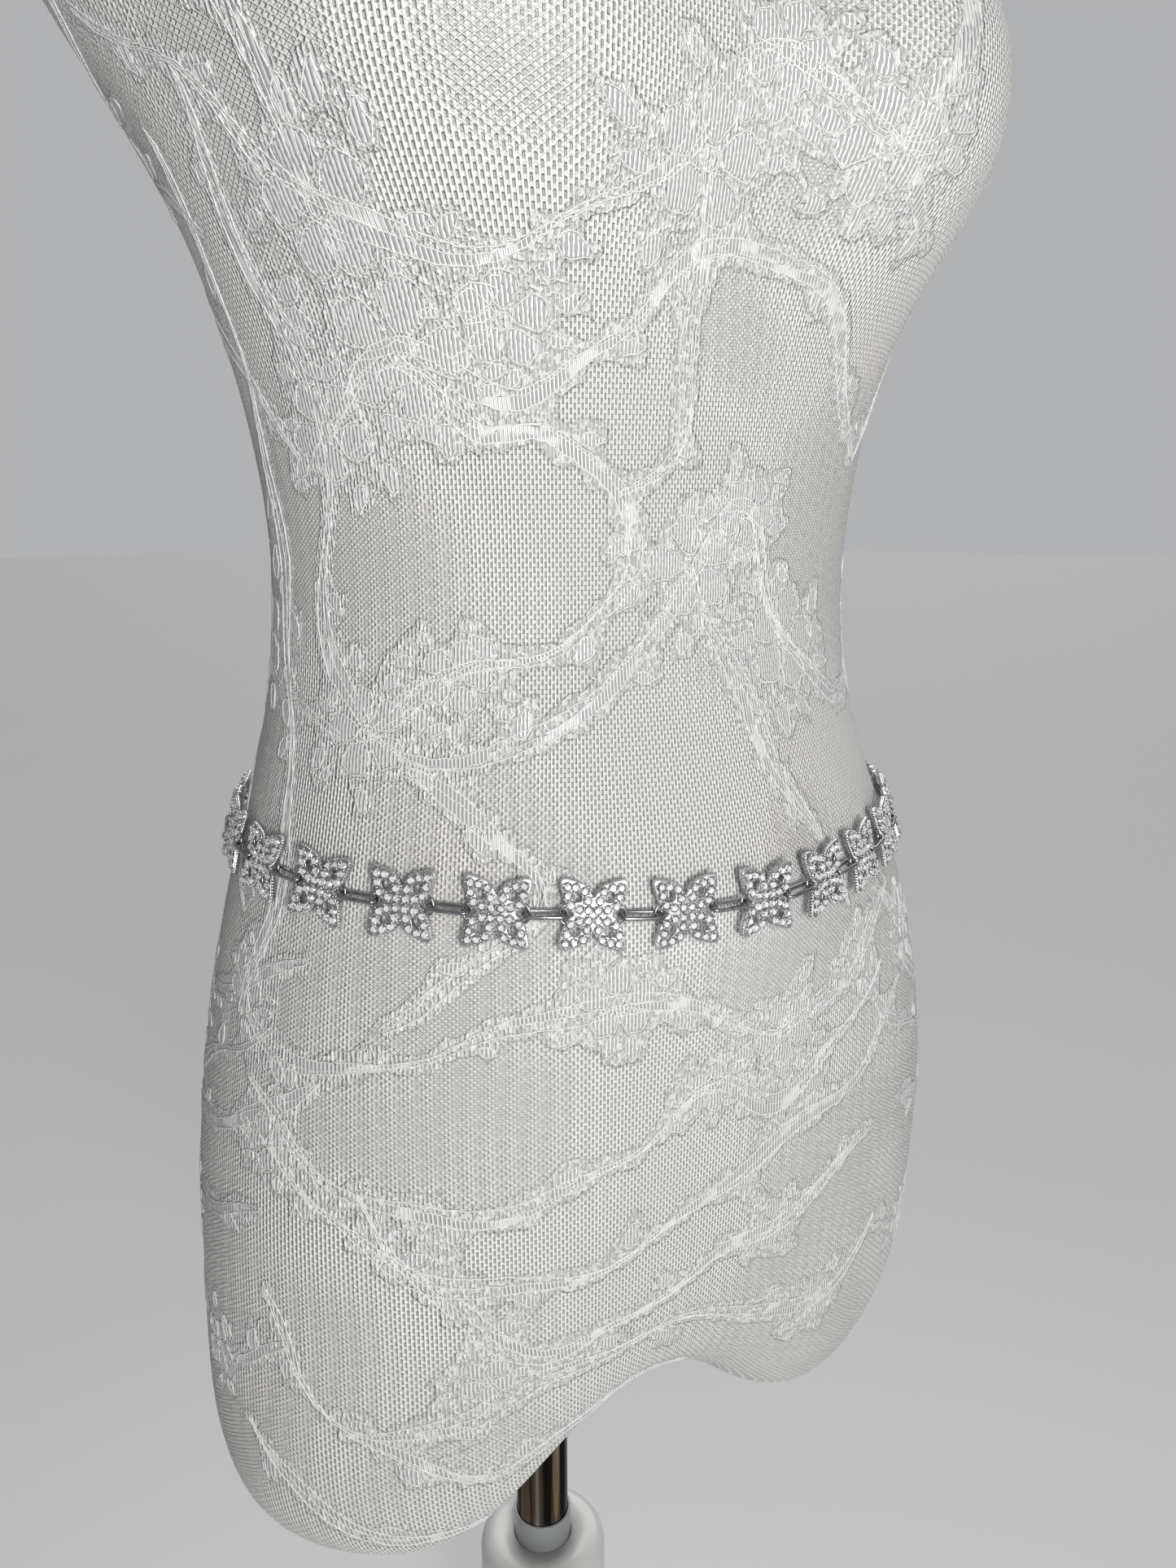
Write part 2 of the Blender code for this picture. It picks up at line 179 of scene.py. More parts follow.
# How fast a vine's gaps, sway and bars come and go, radians to the mm, and where bars are left out
LANE_WAVES = (0.045, 0.045 + 0.013)
SWAY_WAVE = 0.11
BAR_WAVES = (0.06, 0.023)
BAR_LEAST = -0.3
LEAF_POINTS = 12
PETAL_POINTS = 20
LACE_HALO = 4.2
# A place this near the form's middle is on its far side, and a step this long leaves the cover, metres
NEAREST_TO_MIDDLE = 0.03
LONGEST_STEP = 0.008
# Where each of the lace patches' materials stands in their list
SATIN, FENCE = range(2)
FUZZ_HAIRS = 1500
# Lace clusters of one repeat: degrees about the form, mm above the waist, blossom width, turn in degrees
CLUSTERS = (
    (262, 112, 34, 10),
    (289, 120, 29, 40),
    (273, 140, 24, 70),
    (212, 97, 34, 25),
    (217, 62, 38, 0),
    (203, 42, 29, 50),
    (232, 70, 24, 15),
    (266, 2, 31, 30),
    (291, -24, 34, 5),
    (279, 18, 22, 60),
    (207, -48, 28, 35),
    (222, -30, 22, 0),
    (249, -132, 25, 20),
    (283, -156, 26, 50),
    (267, -170, 18, 0),
    (304, -138, 21, 25),
    (195, -188, 21, 45),
    (285, -236, 21, 30),
    (227, -270, 18, 60),
    (299, -284, 20, 40),
    (206, 172, 34, 10),
    (246, 196, 33, 35),
    (284, 212, 34, 0),
    (222, 252, 29, 25),
    (262, 276, 33, 50),
    (300, 292, 28, 15),
)
# The lines of the vines in one repeat: degrees about the form and mm above the waist
VINES = (
    (
        (186, 150), (200, 128), (212, 97), (226, 86), (241, 93), (255, 110),
        (273, 140), (289, 120), (306, 96),
    ),
    ((203, 42), (217, 62), (234, 50), (248, 66), (262, 88), (285, 88), (300, 62), (314, 34)),
    ((217, 62), (226, 40), (238, 42), (250, 22), (253, -2), (240, -20), (222, -30), (207, -48)),
    ((250, 22), (262, 44), (262, 112)),
    (
        (207, -48), (225, -56), (244, -38), (258, -20), (266, 2),
        (279, 18), (291, -24), (306, -42), (320, -50),
    ),
    ((199, 128), (197, 84), (203, 42), (198, 4), (200, -28), (207, -48)),
    ((187, 120), (185, 40), (187, -30), (193, -90), (186, -150)),
    ((214, -60), (229, -76), (236, -96), (226, -120), (212, -140)),
    (
        (188, -146), (202, -158), (219, -148), (235, -138), (249, -132),
        (268, -142), (283, -156), (304, -138), (318, -120),
    ),
    ((190, -168), (209, -200), (230, -204), (250, -190), (267, -170), (285, -182), (312, -148)),
    ((195, -188), (214, -224), (236, -234), (256, -224), (280, -202), (304, -188), (320, -160)),
    ((209, -200), (221, -238), (236, -262), (250, -256), (270, -240), (285, -236), (310, -216)),
    (
        (194, -246), (206, -292), (221, -286), (238, -272),
        (256, -264), (276, -268), (299, -284), (316, -262),
    ),
    ((206, -292), (224, -310), (241, -300), (256, -290), (270, -296)),
    ((190, -300), (200, -328), (214, -342), (232, -334), (246, -316), (256, -296)),
    ((266, 2), (280, -50), (292, -92), (300, -116)),
    ((206, 172), (226, 186), (246, 196), (264, 188), (284, 212), (304, 236)),
    (
        (212, 97), (210, 134), (206, 172), (214, 214), (222, 252), (240, 262),
        (262, 276), (282, 268), (300, 292),
    ),
    ((289, 120), (298, 156), (292, 188), (284, 212)),
    ((222, 252), (232, 300), (250, 322)),
)


def level_value(height, column):
    """One column of TORSO at a height, by a cubic through its rows."""
    table = np.array(TORSO, float)[::-1]
    heights, values = table[:, 0], table[:, column]
    slopes = np.gradient(values, heights)
    row = int(np.clip(np.searchsorted(heights, height) - 1, 0, len(heights) - 2))
    span = heights[row + 1] - heights[row]
    t = (height - heights[row]) / span
    return (
        (2 * t**3 - 3 * t**2 + 1) * values[row]
        + (t**3 - 2 * t**2 + t) * span * slopes[row]
        + (3 * t**2 - 2 * t**3) * values[row + 1]
        + (t**3 - t**2) * span * slopes[row + 1]
    )


def bell(distance, width):
    return math.exp(-((distance / width) ** 2))


def skin(angle, height):
    """The cover's point near the belt, in mm from the waist on the pole's axis."""
    wide, front, back, centre_y, centre_x = (level_value(height, k) for k in range(1, 6))
    cosine, sine = math.cos(angle), math.sin(angle)
    power = 2 / SECTION_POWER
    x = wide * math.copysign(abs(cosine) ** power, cosine)
    depth = front if sine < 0 else back
    y = centre_y + depth * math.copysign(abs(sine) ** power, sine)
    if sine < 0:
        y -= BELLY["out"] * bell(x, BELLY["wide"]) * bell(height - BELLY["level"], BELLY["tall"])
    else:
        for side in (-1, 1):
            across = bell(x - side * SEAT["x"], SEAT["wide"])
            y += SEAT["out"] * across * bell(height - SEAT["level"], SEAT["tall"])
    return np.array((x + centre_x, y, height))


class BeltLine:
    """The belt's closed line on the form, read by the distance from the back's middle toward -X."""

    def __init__(self):
        points = []
        normals = []
        for index in range(BELT_SAMPLES):
            angle = math.pi / 2 + 2 * math.pi * index / BELT_SAMPLES
            height = BELT_LEVEL
            for _ in range(5):
                here = skin(angle, height)
                height = BELT_LEVEL + BELT_RISE_BACK * here[1] + BELT_RISE_SIDE * here[0]
            here = skin(angle, height)
            along = skin(angle + PROBE_ANGLE, height) - skin(angle - PROBE_ANGLE, height)
            upward = skin(angle, height + PROBE_HEIGHT) - skin(angle, height - PROBE_HEIGHT)
            normal = np.cross(along, upward)
            normal /= np.linalg.norm(normal)
            points.append(here + BELT_GAP * normal)
            normals.append(normal)
        self.points = np.array(points + points[:1])
        self.normals = np.array(normals + normals[:1])
        steps = np.linalg.norm(np.diff(self.points, axis=0), axis=1)
        self.lengths = np.concatenate(([0.0], np.cumsum(steps)))
        self.total = self.lengths[-1]
        self.first = self.lengths[BELT_SAMPLES // 2] + FRONT_LINK - (LINKS // 2 - 2) * PITCH

    def read(self, table, distance):
        distance %= self.total
        return np.array([np.interp(distance, self.lengths, table[:, k]) for k in range(3)])

    def frame(self, distance, reach):
        chord = self.read(self.points, distance + reach) - self.read(self.points, distance - reach)
        return straight_frame(self.read(self.points, distance), chord, self.read(self.normals, distance))


def straight_frame(origin, along, outward):
    along = along / np.linalg.norm(along)
    upward = np.cross(outward, along)
    upward /= np.linalg.norm(upward)
    return origin, along, upward, np.cross(along, upward)


def swung(place, swing, lean):
    origin, along, upward, outward = place
    along, upward = (
        math.cos(swing) * along + math.sin(swing) * upward,
        math.cos(swing) * upward - math.sin(swing) * along,
    )
    upward, outward = (
        math.cos(lean) * upward + math.sin(lean) * outward,
        math.cos(lean) * outward - math.sin(lean) * upward,
    )
    return origin, along, upward, outward


def belt_frames():
    """Places of the links, of the hook, and of the rings after each link and beside the hook."""
    line = BeltLine()
    links = []
    for index in range(LINKS):
        place = line.frame(line.first + index * PITCH, LINK_CHORD)
        swing = SWING * math.sin(SWING_STEP * index + SWING_START)
        links.append(swung(place, swing, LEAN * math.sin(LEAN_STEP * index)))
    hook = line.frame(line.first - (line.total - (LINKS - 1) * PITCH) / 2, HOOK_HALF)
    joined = [(a, LOOP_REACH, b, LOOP_REACH) for a, b in zip(links, links[1:])]
    joined.append((links[-1], LOOP_REACH, hook, HOOK_HALF))
    joined.append((hook, HOOK_HALF, links[0], LOOP_REACH))
    return links, hook, [ring_between(*pair) for pair in joined]


def ring_between(before, reach, after, back):
    """The place of the ring from reach mm along one piece to back mm before the next one's middle."""
    start, end = before[0] + reach * before[1], after[0] - back * after[1]
    return swung(straight_frame((start + end) / 2, end - start, before[3] + after[3]), 0.0, RING_LEAN)


def matrix_of(place):
    """A place as a matrix that also turns mm into metres."""
    origin, along, upward, outward = place
    made = Matrix.Identity(4)
    for row in range(3):
        made[row][0] = along[row] * MM
        made[row][1] = upward[row] * MM
        made[row][2] = outward[row] * MM
        made[row][3] = origin[row] * MM
    made[2][3] += WAIST
    return made


# Materials


class Amount:
    """A socket's value, with Python's arithmetic."""

    def __init__(self, finish, socket):
        self.finish = finish
        self.socket = socket

    def _maths(self, operation, *others):
        values = dict(enumerate((self, *others)))
        return self.finish.amount("ShaderNodeMath", {"operation": operation}, values)

    def __add__(self, other):
        return self._maths("ADD", other)

    __radd__ = __add__

    def __mul__(self, other):
        return self._maths("MULTIPLY", other)

    __rmul__ = __mul__

    def __sub__(self, other):
        return self._maths("SUBTRACT", other)

    def __rsub__(self, other):
        return (self * -1.0) + other

    def sine(self):
        return self._maths("SINE")

    def size(self):
        return self._maths("ABSOLUTE")

    def largest(self, other):
        return self._maths("MAXIMUM", other)

    def ramp(self, low, high):
        """0 below low and 1 above high, with a smooth step between."""
        settings = {"interpolation_type": "SMOOTHSTEP"}
        values = {"Value": self, "From Min": low, "From Max": high}
        return self.finish.amount("ShaderNodeMapRange", settings, values)


class Finish:
    """One material: its Principled shader and the nodes that feed it."""

    def __init__(self, name, colour, roughness, metallic=0.0):
        self.material = bpy.data.materials.new(name)
        self.material.use_nodes = True
        self.tree = self.material.node_tree
        self.shader = self.tree.nodes["Principled BSDF"]
        self.feed("Base Color", colour)
        self.feed("Roughness", roughness)
        self.feed("Metallic", metallic)

    def node(self, kind, settings=None, values=None):
        made = self.tree.nodes.new(kind)
        for key, value in (settings or {}).items():
            setattr(made, key, value)
        for key, value in (values or {}).items():
            self.give(made.inputs[key], value)
        return made

    def give(self, socket, value):
        if isinstance(value, Amount):
            self.tree.links.new(value.socket, socket)
        elif isinstance(value, bpy.types.NodeSocket):
            self.tree.links.new(value, socket)
        elif hasattr(value, "__len__"):
            socket.default_value = (*value, 1.0)[: len(socket.default_value)]
        else:
            socket.default_value = value

    def amount(self, kind, settings=None, values=None, output=0):
        return Amount(self, self.node(kind, settings, values).outputs[output])

    def feed(self, name, value):
        self.give(self.shader.inputs[name], value)

    def mix(self, factor, first, second):
        settings = {"data_type": "RGBA"}
        return self.node("ShaderNodeMix", settings, {0: factor, 6: first, 7: second}).outputs[2]

    def place(self):
        return self.node("ShaderNodeTexCoord").outputs["Object"]

    def noise(self, scale, detail=3.0, roughness=0.55, vector=None):
        values = {"Scale": scale, "Detail": detail, "Roughness": roughness}
        return self.amount("ShaderNodeTexNoise", None, {**values, "Vector": vector or self.place()})

    def stretched(self, scale, detail, tall):
        """Noise whose spots are longer upward the smaller tall is."""
        values = {"Vector": self.place(), "Scale": (1.0, 1.0, tall)}
        return self.noise(scale, detail, vector=self.node("ShaderNodeMapping", None, values).outputs[0])

    def attribute(self, name):
        return self.amount("ShaderNodeAttribute", {"attribute_name": name}, None, "Fac")

    def bump(self, height, distance, strength=1.0):
        values = {"Height": height, "Distance": distance, "Strength": strength}
        return self.node("ShaderNodeBump", None, values).outputs["Normal"]

    def round_and_up(self):
        """How far round the form a point is, in turns, and its height in mm, from the piece's UV map."""
        source = self.node("ShaderNodeUVMap", {"uv_map": "round_and_up"}).outputs["UV"]
        parts = self.node("ShaderNodeSeparateXYZ", None, {0: source})
        return Amount(self, parts.outputs[0]), Amount(self, parts.outputs[1])


def stagger(around, height, ribs, rise):
    """From -1 to 1, up and down by rise mm, half a step out from one rib to the next."""
    turn = 2 * math.pi
    return (height * (turn / rise)).sine() * (around * (turn * ribs * 0.5) - math.pi / 4).sine()


def cover_finish(looks):
    """Ribbed knit with staggered slits, net in places, and a dense ragged lace ground near the cords; the
    slits, the net's holes, the ribs' flanks and a thin line round the lace are painted shade.
    """
    finish = Finish("form_knit_and_net", looks.knit_colour, 0.85)
    around, height = finish.round_and_up()
    turn = 2 * math.pi
    wobble = finish.noise(150.0, 3.0, 0.7) - 0.5
    near = finish.attribute("lace") + wobble * 0.8
    lace = near.ramp(0.54, 0.64)
    rib = (around * (turn * looks.wales)).sine()
    steps = stagger(around, height, looks.wales, 2.8)
    slits = (0.2 - rib).ramp(0.0, 0.8) * (steps + 0.6).ramp(0.0, 1.0)
    knit = rib * 0.22 + 0.80 - slits * 0.95
    warp = finish.noise(9.0, 2.0) - 0.5
    climb = height * (turn / looks.net_pitch) + warp * 16.0
    swing = around * (turn * looks.nets) + warp * 5.0
    strand_up = 1.0 - (swing + climb).sine().size().ramp(0.05, 0.75)
    strand_down = 1.0 - (swing - climb).sine().size().ramp(0.05, 0.75)
    net = strand_up.largest(strand_down) * 0.90 + 0.42
    # 1 in front and at the back, -1 at the sides, where the stretched cover shows more of its net
    ahead = (around * (2 * turn) - math.radians(40)).sine()
    dense = (finish.noise(15.0, 1.0) - ahead * 0.07).ramp(0.34, 0.72) * 0.9
    ground = knit * (1.0 - dense) + net * dense
    worms = finish.stretched(880.0, 1.0, 0.55).ramp(0.40, 0.60)
    motif = worms * 0.62 + rib * 0.20 + 0.34
    cloud = finish.noise(70.0, 3.0)
    # A thin dark line round the edge of the lace ground: painted shade under the lace's raised edge.
    outline = (near - 0.54).size().ramp(0.0, 0.06)
    relief = ground * (1.0 - lace) + motif * lace
    shade = (relief + (cloud - 0.5) * 0.2) * (outline * 0.7 + 0.3)
    warm = finish.noise(7.0, 2.0).ramp(0.45, 0.75) * 0.7
    knitted = finish.mix(warm, looks.knit_colour, looks.knit_tint)
    thread = finish.mix(lace, knitted, looks.lace_colour)
    # Painted shade: the slits, the net's holes, the ribs' flanks and the line round the lace are mixed
    # toward the knit's shadow colour.
    finish.feed("Base Color", finish.mix(shade.ramp(-0.12, 0.95), looks.knit_shadow, thread))
    finish.feed("Roughness", 0.92 - lace * 0.3)
    finish.feed("Normal", finish.bump(relief + lace * 0.7, 0.0010, 1.0))
    finish.feed("Sheen Weight", 0.04)
    finish.feed("Sheen Roughness", 0.5)
    return finish.material


def lace_finish(looks):
    """Rows of short upright satin stitches, with painted shade in the gaps between them."""
    finish = Finish("lace_satin_threads", looks.lace_colour, 0.45)
    around, height = finish.round_and_up()
    wobble = finish.noise(110.0, 2.0) - 0.5
    thread = (around * (2 * math.pi * looks.wales) + wobble * 3.4).sine()
    breaks = (stagger(around, height + wobble * 9.0, looks.wales, 3.9) - 0.25).ramp(0.0, 0.5)
    satin = (thread + 0.75).ramp(0.0, 0.9) * (0.75 - breaks * 0.6) + 0.25
    # The gaps between the stitches are painted dark: painted shade.
    finish.feed("Base Color", finish.mix(satin, looks.gap_shade_colour, looks.lace_colour))
    finish.feed("Roughness", 0.75 - satin * 0.4)
    finish.feed("Normal", finish.bump(satin, 0.0006, 1.0))
    finish.feed("Sheen Weight", 0.05)
    return finish.material


def fence_finish(looks):
    """Upright satin bars with open slits between them, the slits painted dark as shade."""
    finish = Finish("lace_open_bars", looks.lace_colour, 0.5)
    around, height = finish.round_and_up()
    wobble = finish.noise(60.0, 2.0) - 0.5
    bars = (around * (2 * math.pi * looks.wales) + wobble * 2.0 + height * 0.3).sine().ramp(-0.35, 0.45)
    closed = finish.noise(95.0, 2.0).ramp(0.50, 0.60)
    thread = bars.largest(closed) * 0.85 + 0.15
    # The slits between the bars are painted dark: painted shade.
    finish.feed("Base Color", finish.mix(thread, looks.gap_shade_colour, looks.lace_colour))
    finish.feed("Roughness", 0.8 - bars * 0.4)
    finish.feed("Normal", finish.bump(bars, 0.0006, 1.0))
    return finish.material


def cord_finish(looks):
    finish = Finish("lace_cord", looks.lace_colour, 0.5)
    fleck = finish.noise(900.0, 2.0)
    finish.feed("Base Color", finish.mix(fleck.ramp(0.2, 0.5), looks.knit_shadow, looks.lace_colour))
    finish.feed("Roughness", 0.4 + fleck * 0.3)
    finish.feed("Normal", finish.bump(fleck, 0.0001, 0.8))
    return finish.material


# Dark thread for the lines under the motifs' edges: painted shadow.
def edge_shadow_finish(looks):
    finish = Finish("lace_edge_painted_shadow", looks.gap_shade_colour, 0.9)
    fleck = finish.noise(500.0, 2.0)
    finish.feed("Base Color", finish.mix(fleck.ramp(0.35, 0.65), looks.gap_shade_colour, looks.knit_shadow))
    finish.feed("Normal", finish.bump(fleck, 0.0001, 0.5))
    return finish.material


def fuzz_finish(looks):
    finish = Finish("form_fuzz_hairs", looks.knit_colour, 0.8)
    fleck = finish.noise(300.0, 1.0)
    finish.feed("Base Color", finish.mix(fleck, looks.knit_colour, looks.lace_colour))
    finish.feed("Roughness", 0.7 + fleck * 0.2)
    return finish.material


def metal_finish(name, bright, dark, roughness, wear):
    """Polished metal with tarnish in patches; wear is how much of the dark shows."""
    finish = Finish(name, bright, roughness, 1.0)
    patch = finish.noise(420.0, 3.0)
    fine = finish.noise(2600.0, 2.0)
    tarnish = (patch + fine * 0.3).ramp(0.45, 0.95) * wear
    finish.feed("Base Color", finish.mix(tarnish, bright, dark))
    finish.feed("Roughness", tarnish * 0.25 + roughness)
    finish.feed("Normal", finish.bump(patch, 0.00004, 0.5))
    return finish.material


def stone_finish(looks):
    """Each of the facets has its own painted brightness: painted sparkle that stands in for a foiled
    stone's reflections.
    """
    finish = Finish("clear_foiled_stone", looks.stone_colour, 0.04)
    facet = finish.attribute("facet")
    # Fine mottling of the stones' brightness and roughness: painted glints.
    glint = finish.noise(1500.0, 1.0)
    sparkle_tone = facet + (glint - 0.5) * 0.4
    finish.feed("Base Color", finish.mix(sparkle_tone.ramp(0.1, 0.8), looks.stone_shadow, looks.stone_colour))
    finish.feed("Metallic", 0.25)
    finish.feed("Roughness", 0.03 + glint * 0.05)
    finish.feed("Coat Weight", 1.0)
    finish.feed("Coat Roughness", 0.02)
    return finish.material


def plastic_finish(name, colour, shadow, roughness, grain):
    finish = Finish(name, colour, roughness)
    cloud = finish.noise(38.0, 4.0)
    speck = finish.noise(900.0, 2.0)
    finish.feed("Base Color", finish.mix(cloud.ramp(0.4, 0.8) * 0.5, colour, shadow))
    finish.feed("Roughness", cloud * 0.16 + (roughness - 0.06))
    finish.feed("Normal", finish.bump(speck, grain, 0.5))
    return finish.material


def chrome_finish(looks):
    """Mirror metal painted dark, with upright brown and dark streaks: painted reflections of dim
    surroundings.
    """
    finish = Finish("pole_chrome_painted_reflections", looks.chrome_colour, 0.05, 1.0)
    reflection_streak = finish.stretched(190.0, 2.0, 0.02)
    smear = finish.noise(60.0, 5.0)
    reflected_streaks = finish.mix(reflection_streak.ramp(0.46, 0.58), looks.chrome_dark_reflection, looks.chrome_brown_reflection)
    finish.feed("Base Color", finish.mix(reflection_streak.ramp(0.60, 0.72), reflected_streaks, looks.chrome_colour))
    finish.feed("Roughness", smear * 0.06 + 0.02)
    finish.feed("Normal", finish.bump(smear, 0.00003, 0.3))
    return finish.material


# Shapes


def finished(name, mesh, materials, body, replaced=(), smooth=True):
    """Adds a finished piece at the origin, riding on a body and standing for CAD nodes."""
    piece = bpy.data.objects.new(name, mesh)
    bpy.context.scene.collection.objects.link(piece)
    if not mesh.materials:
        for material in materials:
            mesh.materials.append(material)
    mesh.polygons.foreach_set("use_smooth", [smooth] * len(mesh.polygons))
    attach(piece, body)
    if replaced:
        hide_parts(*replaced)
    return piece


def mesh_from(sheet, name):
    mesh = bpy.data.meshes.new(name)
    sheet.to_mesh(mesh)
    sheet.free()
    return mesh


def shown_mesh(piece):
    """The mesh that a helper object shows, after which the helper is gone."""
    bpy.context.view_layer.update()
    graph = bpy.context.evaluated_depsgraph_get()
    mesh = bpy.data.meshes.new_from_object(piece.evaluated_get(graph), depsgraph=graph)
    bpy.data.objects.remove(piece, do_unlink=True)
    return mesh


def thread_mesh(name, lines, sides):
    """Round threads along lines; each line is (points, radius, closed)."""
    curve = bpy.data.curves.new(name, "CURVE")
    curve.dimensions = "3D"
    curve.fill_mode = "FULL"
    curve.bevel_depth = 1.0
    curve.bevel_resolution = (sides - 4) // 2
    curve.use_fill_caps = True
    for points, radius, closed in lines:
        spline = curve.splines.new("POLY")
        spline.points.add(len(points) - 1)
        for dot, point in zip(spline.points, points):
            dot.co = (*point, 1.0)
            dot.radius = radius
        spline.use_cyclic_u = closed
    helper = bpy.data.objects.new(name, curve)
    bpy.context.scene.collection.objects.link(helper)
    return shown_mesh(helper)


def turned(name, profile, steps):
    """A solid of revolution about Z from its (radius, height) outline."""
    sheet = bmesh.new()
    verts = [sheet.verts.new((radius, 0.0, height)) for radius, height in profile]
    onward = verts[1:] + verts[:1] if profile[0][0] > 0.0 else verts[1:]
    edges = [sheet.edges.new(pair) for pair in zip(verts, onward)]
    bmesh.ops.spin(
        sheet,
        geom=verts + edges,
        cent=(0, 0, 0),
        axis=(0, 0, 1),
        angle=2 * math.pi,
        steps=steps,
        use_merge=True,
        use_duplicate=False,
    )
    bmesh.ops.remove_doubles(sheet, verts=sheet.verts, dist=1e-6)
    bmesh.ops.recalc_face_normals(sheet, faces=sheet.faces)
    return mesh_from(sheet, name)


def rounded(profile, at, radius, steps):
    """The outline with its corner number at rounded off."""
    before, corner, after = (np.array(profile[(at + k) % len(profile)], float) for k in (-1, 0, 1))
    inward = (before - corner) / np.linalg.norm(before - corner)
    onward = (after - corner) / np.linalg.norm(after - corner)
    start, end = corner + inward * radius, corner + onward * radius
    arc = []
    for step in range(steps + 1):
        t = step / steps
        arc.append(tuple((1 - t) ** 2 * start + 2 * t * (1 - t) * corner + t**2 * end))
    return list(profile[:at]) + arc + list(profile[at + 1 :])


def smooth_loop(points, parts, closed=True):
    """A Catmull-Rom line through the points, with so many parts between each two."""
    points = [np.array(p, float) for p in points]
    count = len(points)
    line = []
    for index in range(count if closed else count - 1):
        if closed:
            a, b, c, d = (points[(index + k) % count] for k in (-1, 0, 1, 2))
        else:
            a, b = points[max(index - 1, 0)], points[index]
            c, d = points[index + 1], points[min(index + 2, count - 1)]
        for part in range(parts):
            t = part / parts
            squared, cubed = 2 * a - 5 * b + 4 * c - d, 3 * b - a - 3 * c + d
            line.append(0.5 * (2 * b + (c - a) * t + squared * t**2 + cubed * t**3))
    if not closed:
        line.append(points[-1])
    return line


def turns(count):
    return [2 * math.pi * step / count for step in range(count)]


def link_outline():
    right_up = list(QUARTER)
    left_up = [(-x, y) for x, y in reversed(QUARTER[:-1])]
    upper = right_up + left_up
    return upper + [(x, -y) for x, y in reversed(upper[1:-1])]


def link_stones():
    return [(sx * x, sy * y) for x, y in STONES for sx in (1, -1) for sy in (1, -1)]


def add_plate(sheet):
    """The link's pierced plate with softened edges."""
    loops = [smooth_loop(link_outline(), 3)]
    for flip_x in (1, -1):
        for flip_y in (1, -1):
            loops.append(smooth_loop([(flip_x * x, flip_y * y) for x, y in OPENING], 3))
    edges = []
    for loop in loops:
        verts = [sheet.verts.new((x, y, -LINK_THICK / 2)) for x, y in loop]
        edges += [sheet.edges.new(pair) for pair in zip(verts, verts[1:] + verts[:1])]
    filled = bmesh.ops.triangle_fill(sheet, use_beauty=True, use_dissolve=False, edges=edges)
    faces = [item for item in filled["geom"] if isinstance(item, bmesh.types.BMFace)]
    grown = bmesh.ops.extrude_face_region(sheet, geom=faces, use_keep_orig=True)
    top = [item for item in grown["geom"] if isinstance(item, bmesh.types.BMVert)]
    bmesh.ops.translate(sheet, verts=top, vec=(0, 0, LINK_THICK))
    bmesh.ops.recalc_face_normals(sheet, faces=sheet.faces)
    rim = [edge for edge in sheet.edges if len(edge.link_faces) == 2 and edge.calc_face_angle(0.0) > 1.2]
    bmesh.ops.bevel(
        sheet, geom=rim, offset=PLATE_BEVEL, segments=2, profile=0.5, affect="EDGES", material=-1
    )
    # The plate's top faces take the darker metal: painted shade between the stones.
    for face in sheet.faces:
        face.material_index = SHADED_BED if face.normal.z > 0.9 else CAST
    return loops[0]


def add_flutes(sheet, outline, belt):
    """Upright bars round the plate's wall."""
    closed = outline + outline[:1]
    steps = [np.linalg.norm(b - a) for a, b in zip(closed, closed[1:])]
    total = sum(steps)
    count = round(total / (belt.flute_pitch / MM))
    marks = np.concatenate(([0.0], np.cumsum(steps)))
    table = np.array(closed)
    for index in range(count):
        here = [np.interp(total * index / count, marks, table[:, k]) for k in range(2)]
        bmesh.ops.create_cone(
            sheet,
            cap_ends=True,
            segments=6,
            radius1=FLUTE_RADIUS,
            radius2=FLUTE_RADIUS,
            depth=LINK_THICK - 0.35,
            matrix=Matrix.Translation((here[0], here[1], 0.0)),
        )


def add_cups(sheet, belt):
    """The cup under each stone and the small beads that hold it."""
    radius = belt.stone_width / MM / 2
    stones = link_stones()
    top = LINK_THICK / 2
    for x, y in stones:
        place = Matrix.Translation((x, y, top + CUP_LIFT))
        made = bmesh.ops.create_cone(
            sheet,
            cap_ends=True,
            segments=12,
            radius1=radius + CUP_FOOT,
            radius2=radius + CUP_LIP,
            depth=STONE_TALL,
            matrix=place,
        )
        # The cups take the darker metal too: painted shade round the stones.
        for face in {face for vert in made["verts"] for face in vert.link_faces}:
            face.material_index = SHADED_BED
    beads = []
    for index, (x, y) in enumerate(stones):
        for quarter in range(4):
            turn = math.pi / 2 * quarter + 0.6 + 0.35 * index
            out = radius + BEAD_OUT
            spot = Vector((x + out * math.cos(turn), y + out * math.sin(turn)))
            others = (Vector(stone) for stone in stones if stone != (x, y))
            if any((spot - other).length < radius + BEAD_CLEAR for other in others):
                continue
            if all((spot - other).length > BEAD_APART for other in beads):
                beads.append(spot)
    for spot in beads:
        place = Matrix.Translation((spot.x, spot.y, top + BEAD_LIFT))
        bmesh.ops.create_icosphere(sheet, subdivisions=1, radius=belt.bead_width / MM / 2, matrix=place)


def link_casting(belt):
    """One link's metal in mm about its middle: plate, fluted wall, cups, beads and two side loops."""
    sheet = bmesh.new()
    outline = add_plate(sheet)
    add_flutes(sheet, outline, belt)
    add_cups(sheet, belt)
    lines = []
    for side in (1, -1):
        path = SIDE_LOOP + tuple((x, -y) for x, y in reversed(SIDE_LOOP))
        flat = smooth_loop([(side * x, y) for x, y in path], 3, False)
        lines.append(([(x, y, 0.0) for x, y in flat], LOOP_WIRE, False))
    loops = thread_mesh("side_loops", lines, 8)
    cast_faces = len(sheet.faces)
    sheet.from_mesh(loops)
    bpy.data.meshes.remove(loops)
    for face in list(sheet.faces)[cast_faces:]:
        face.material_index = WIRE
    return mesh_from(sheet, "link_casting")


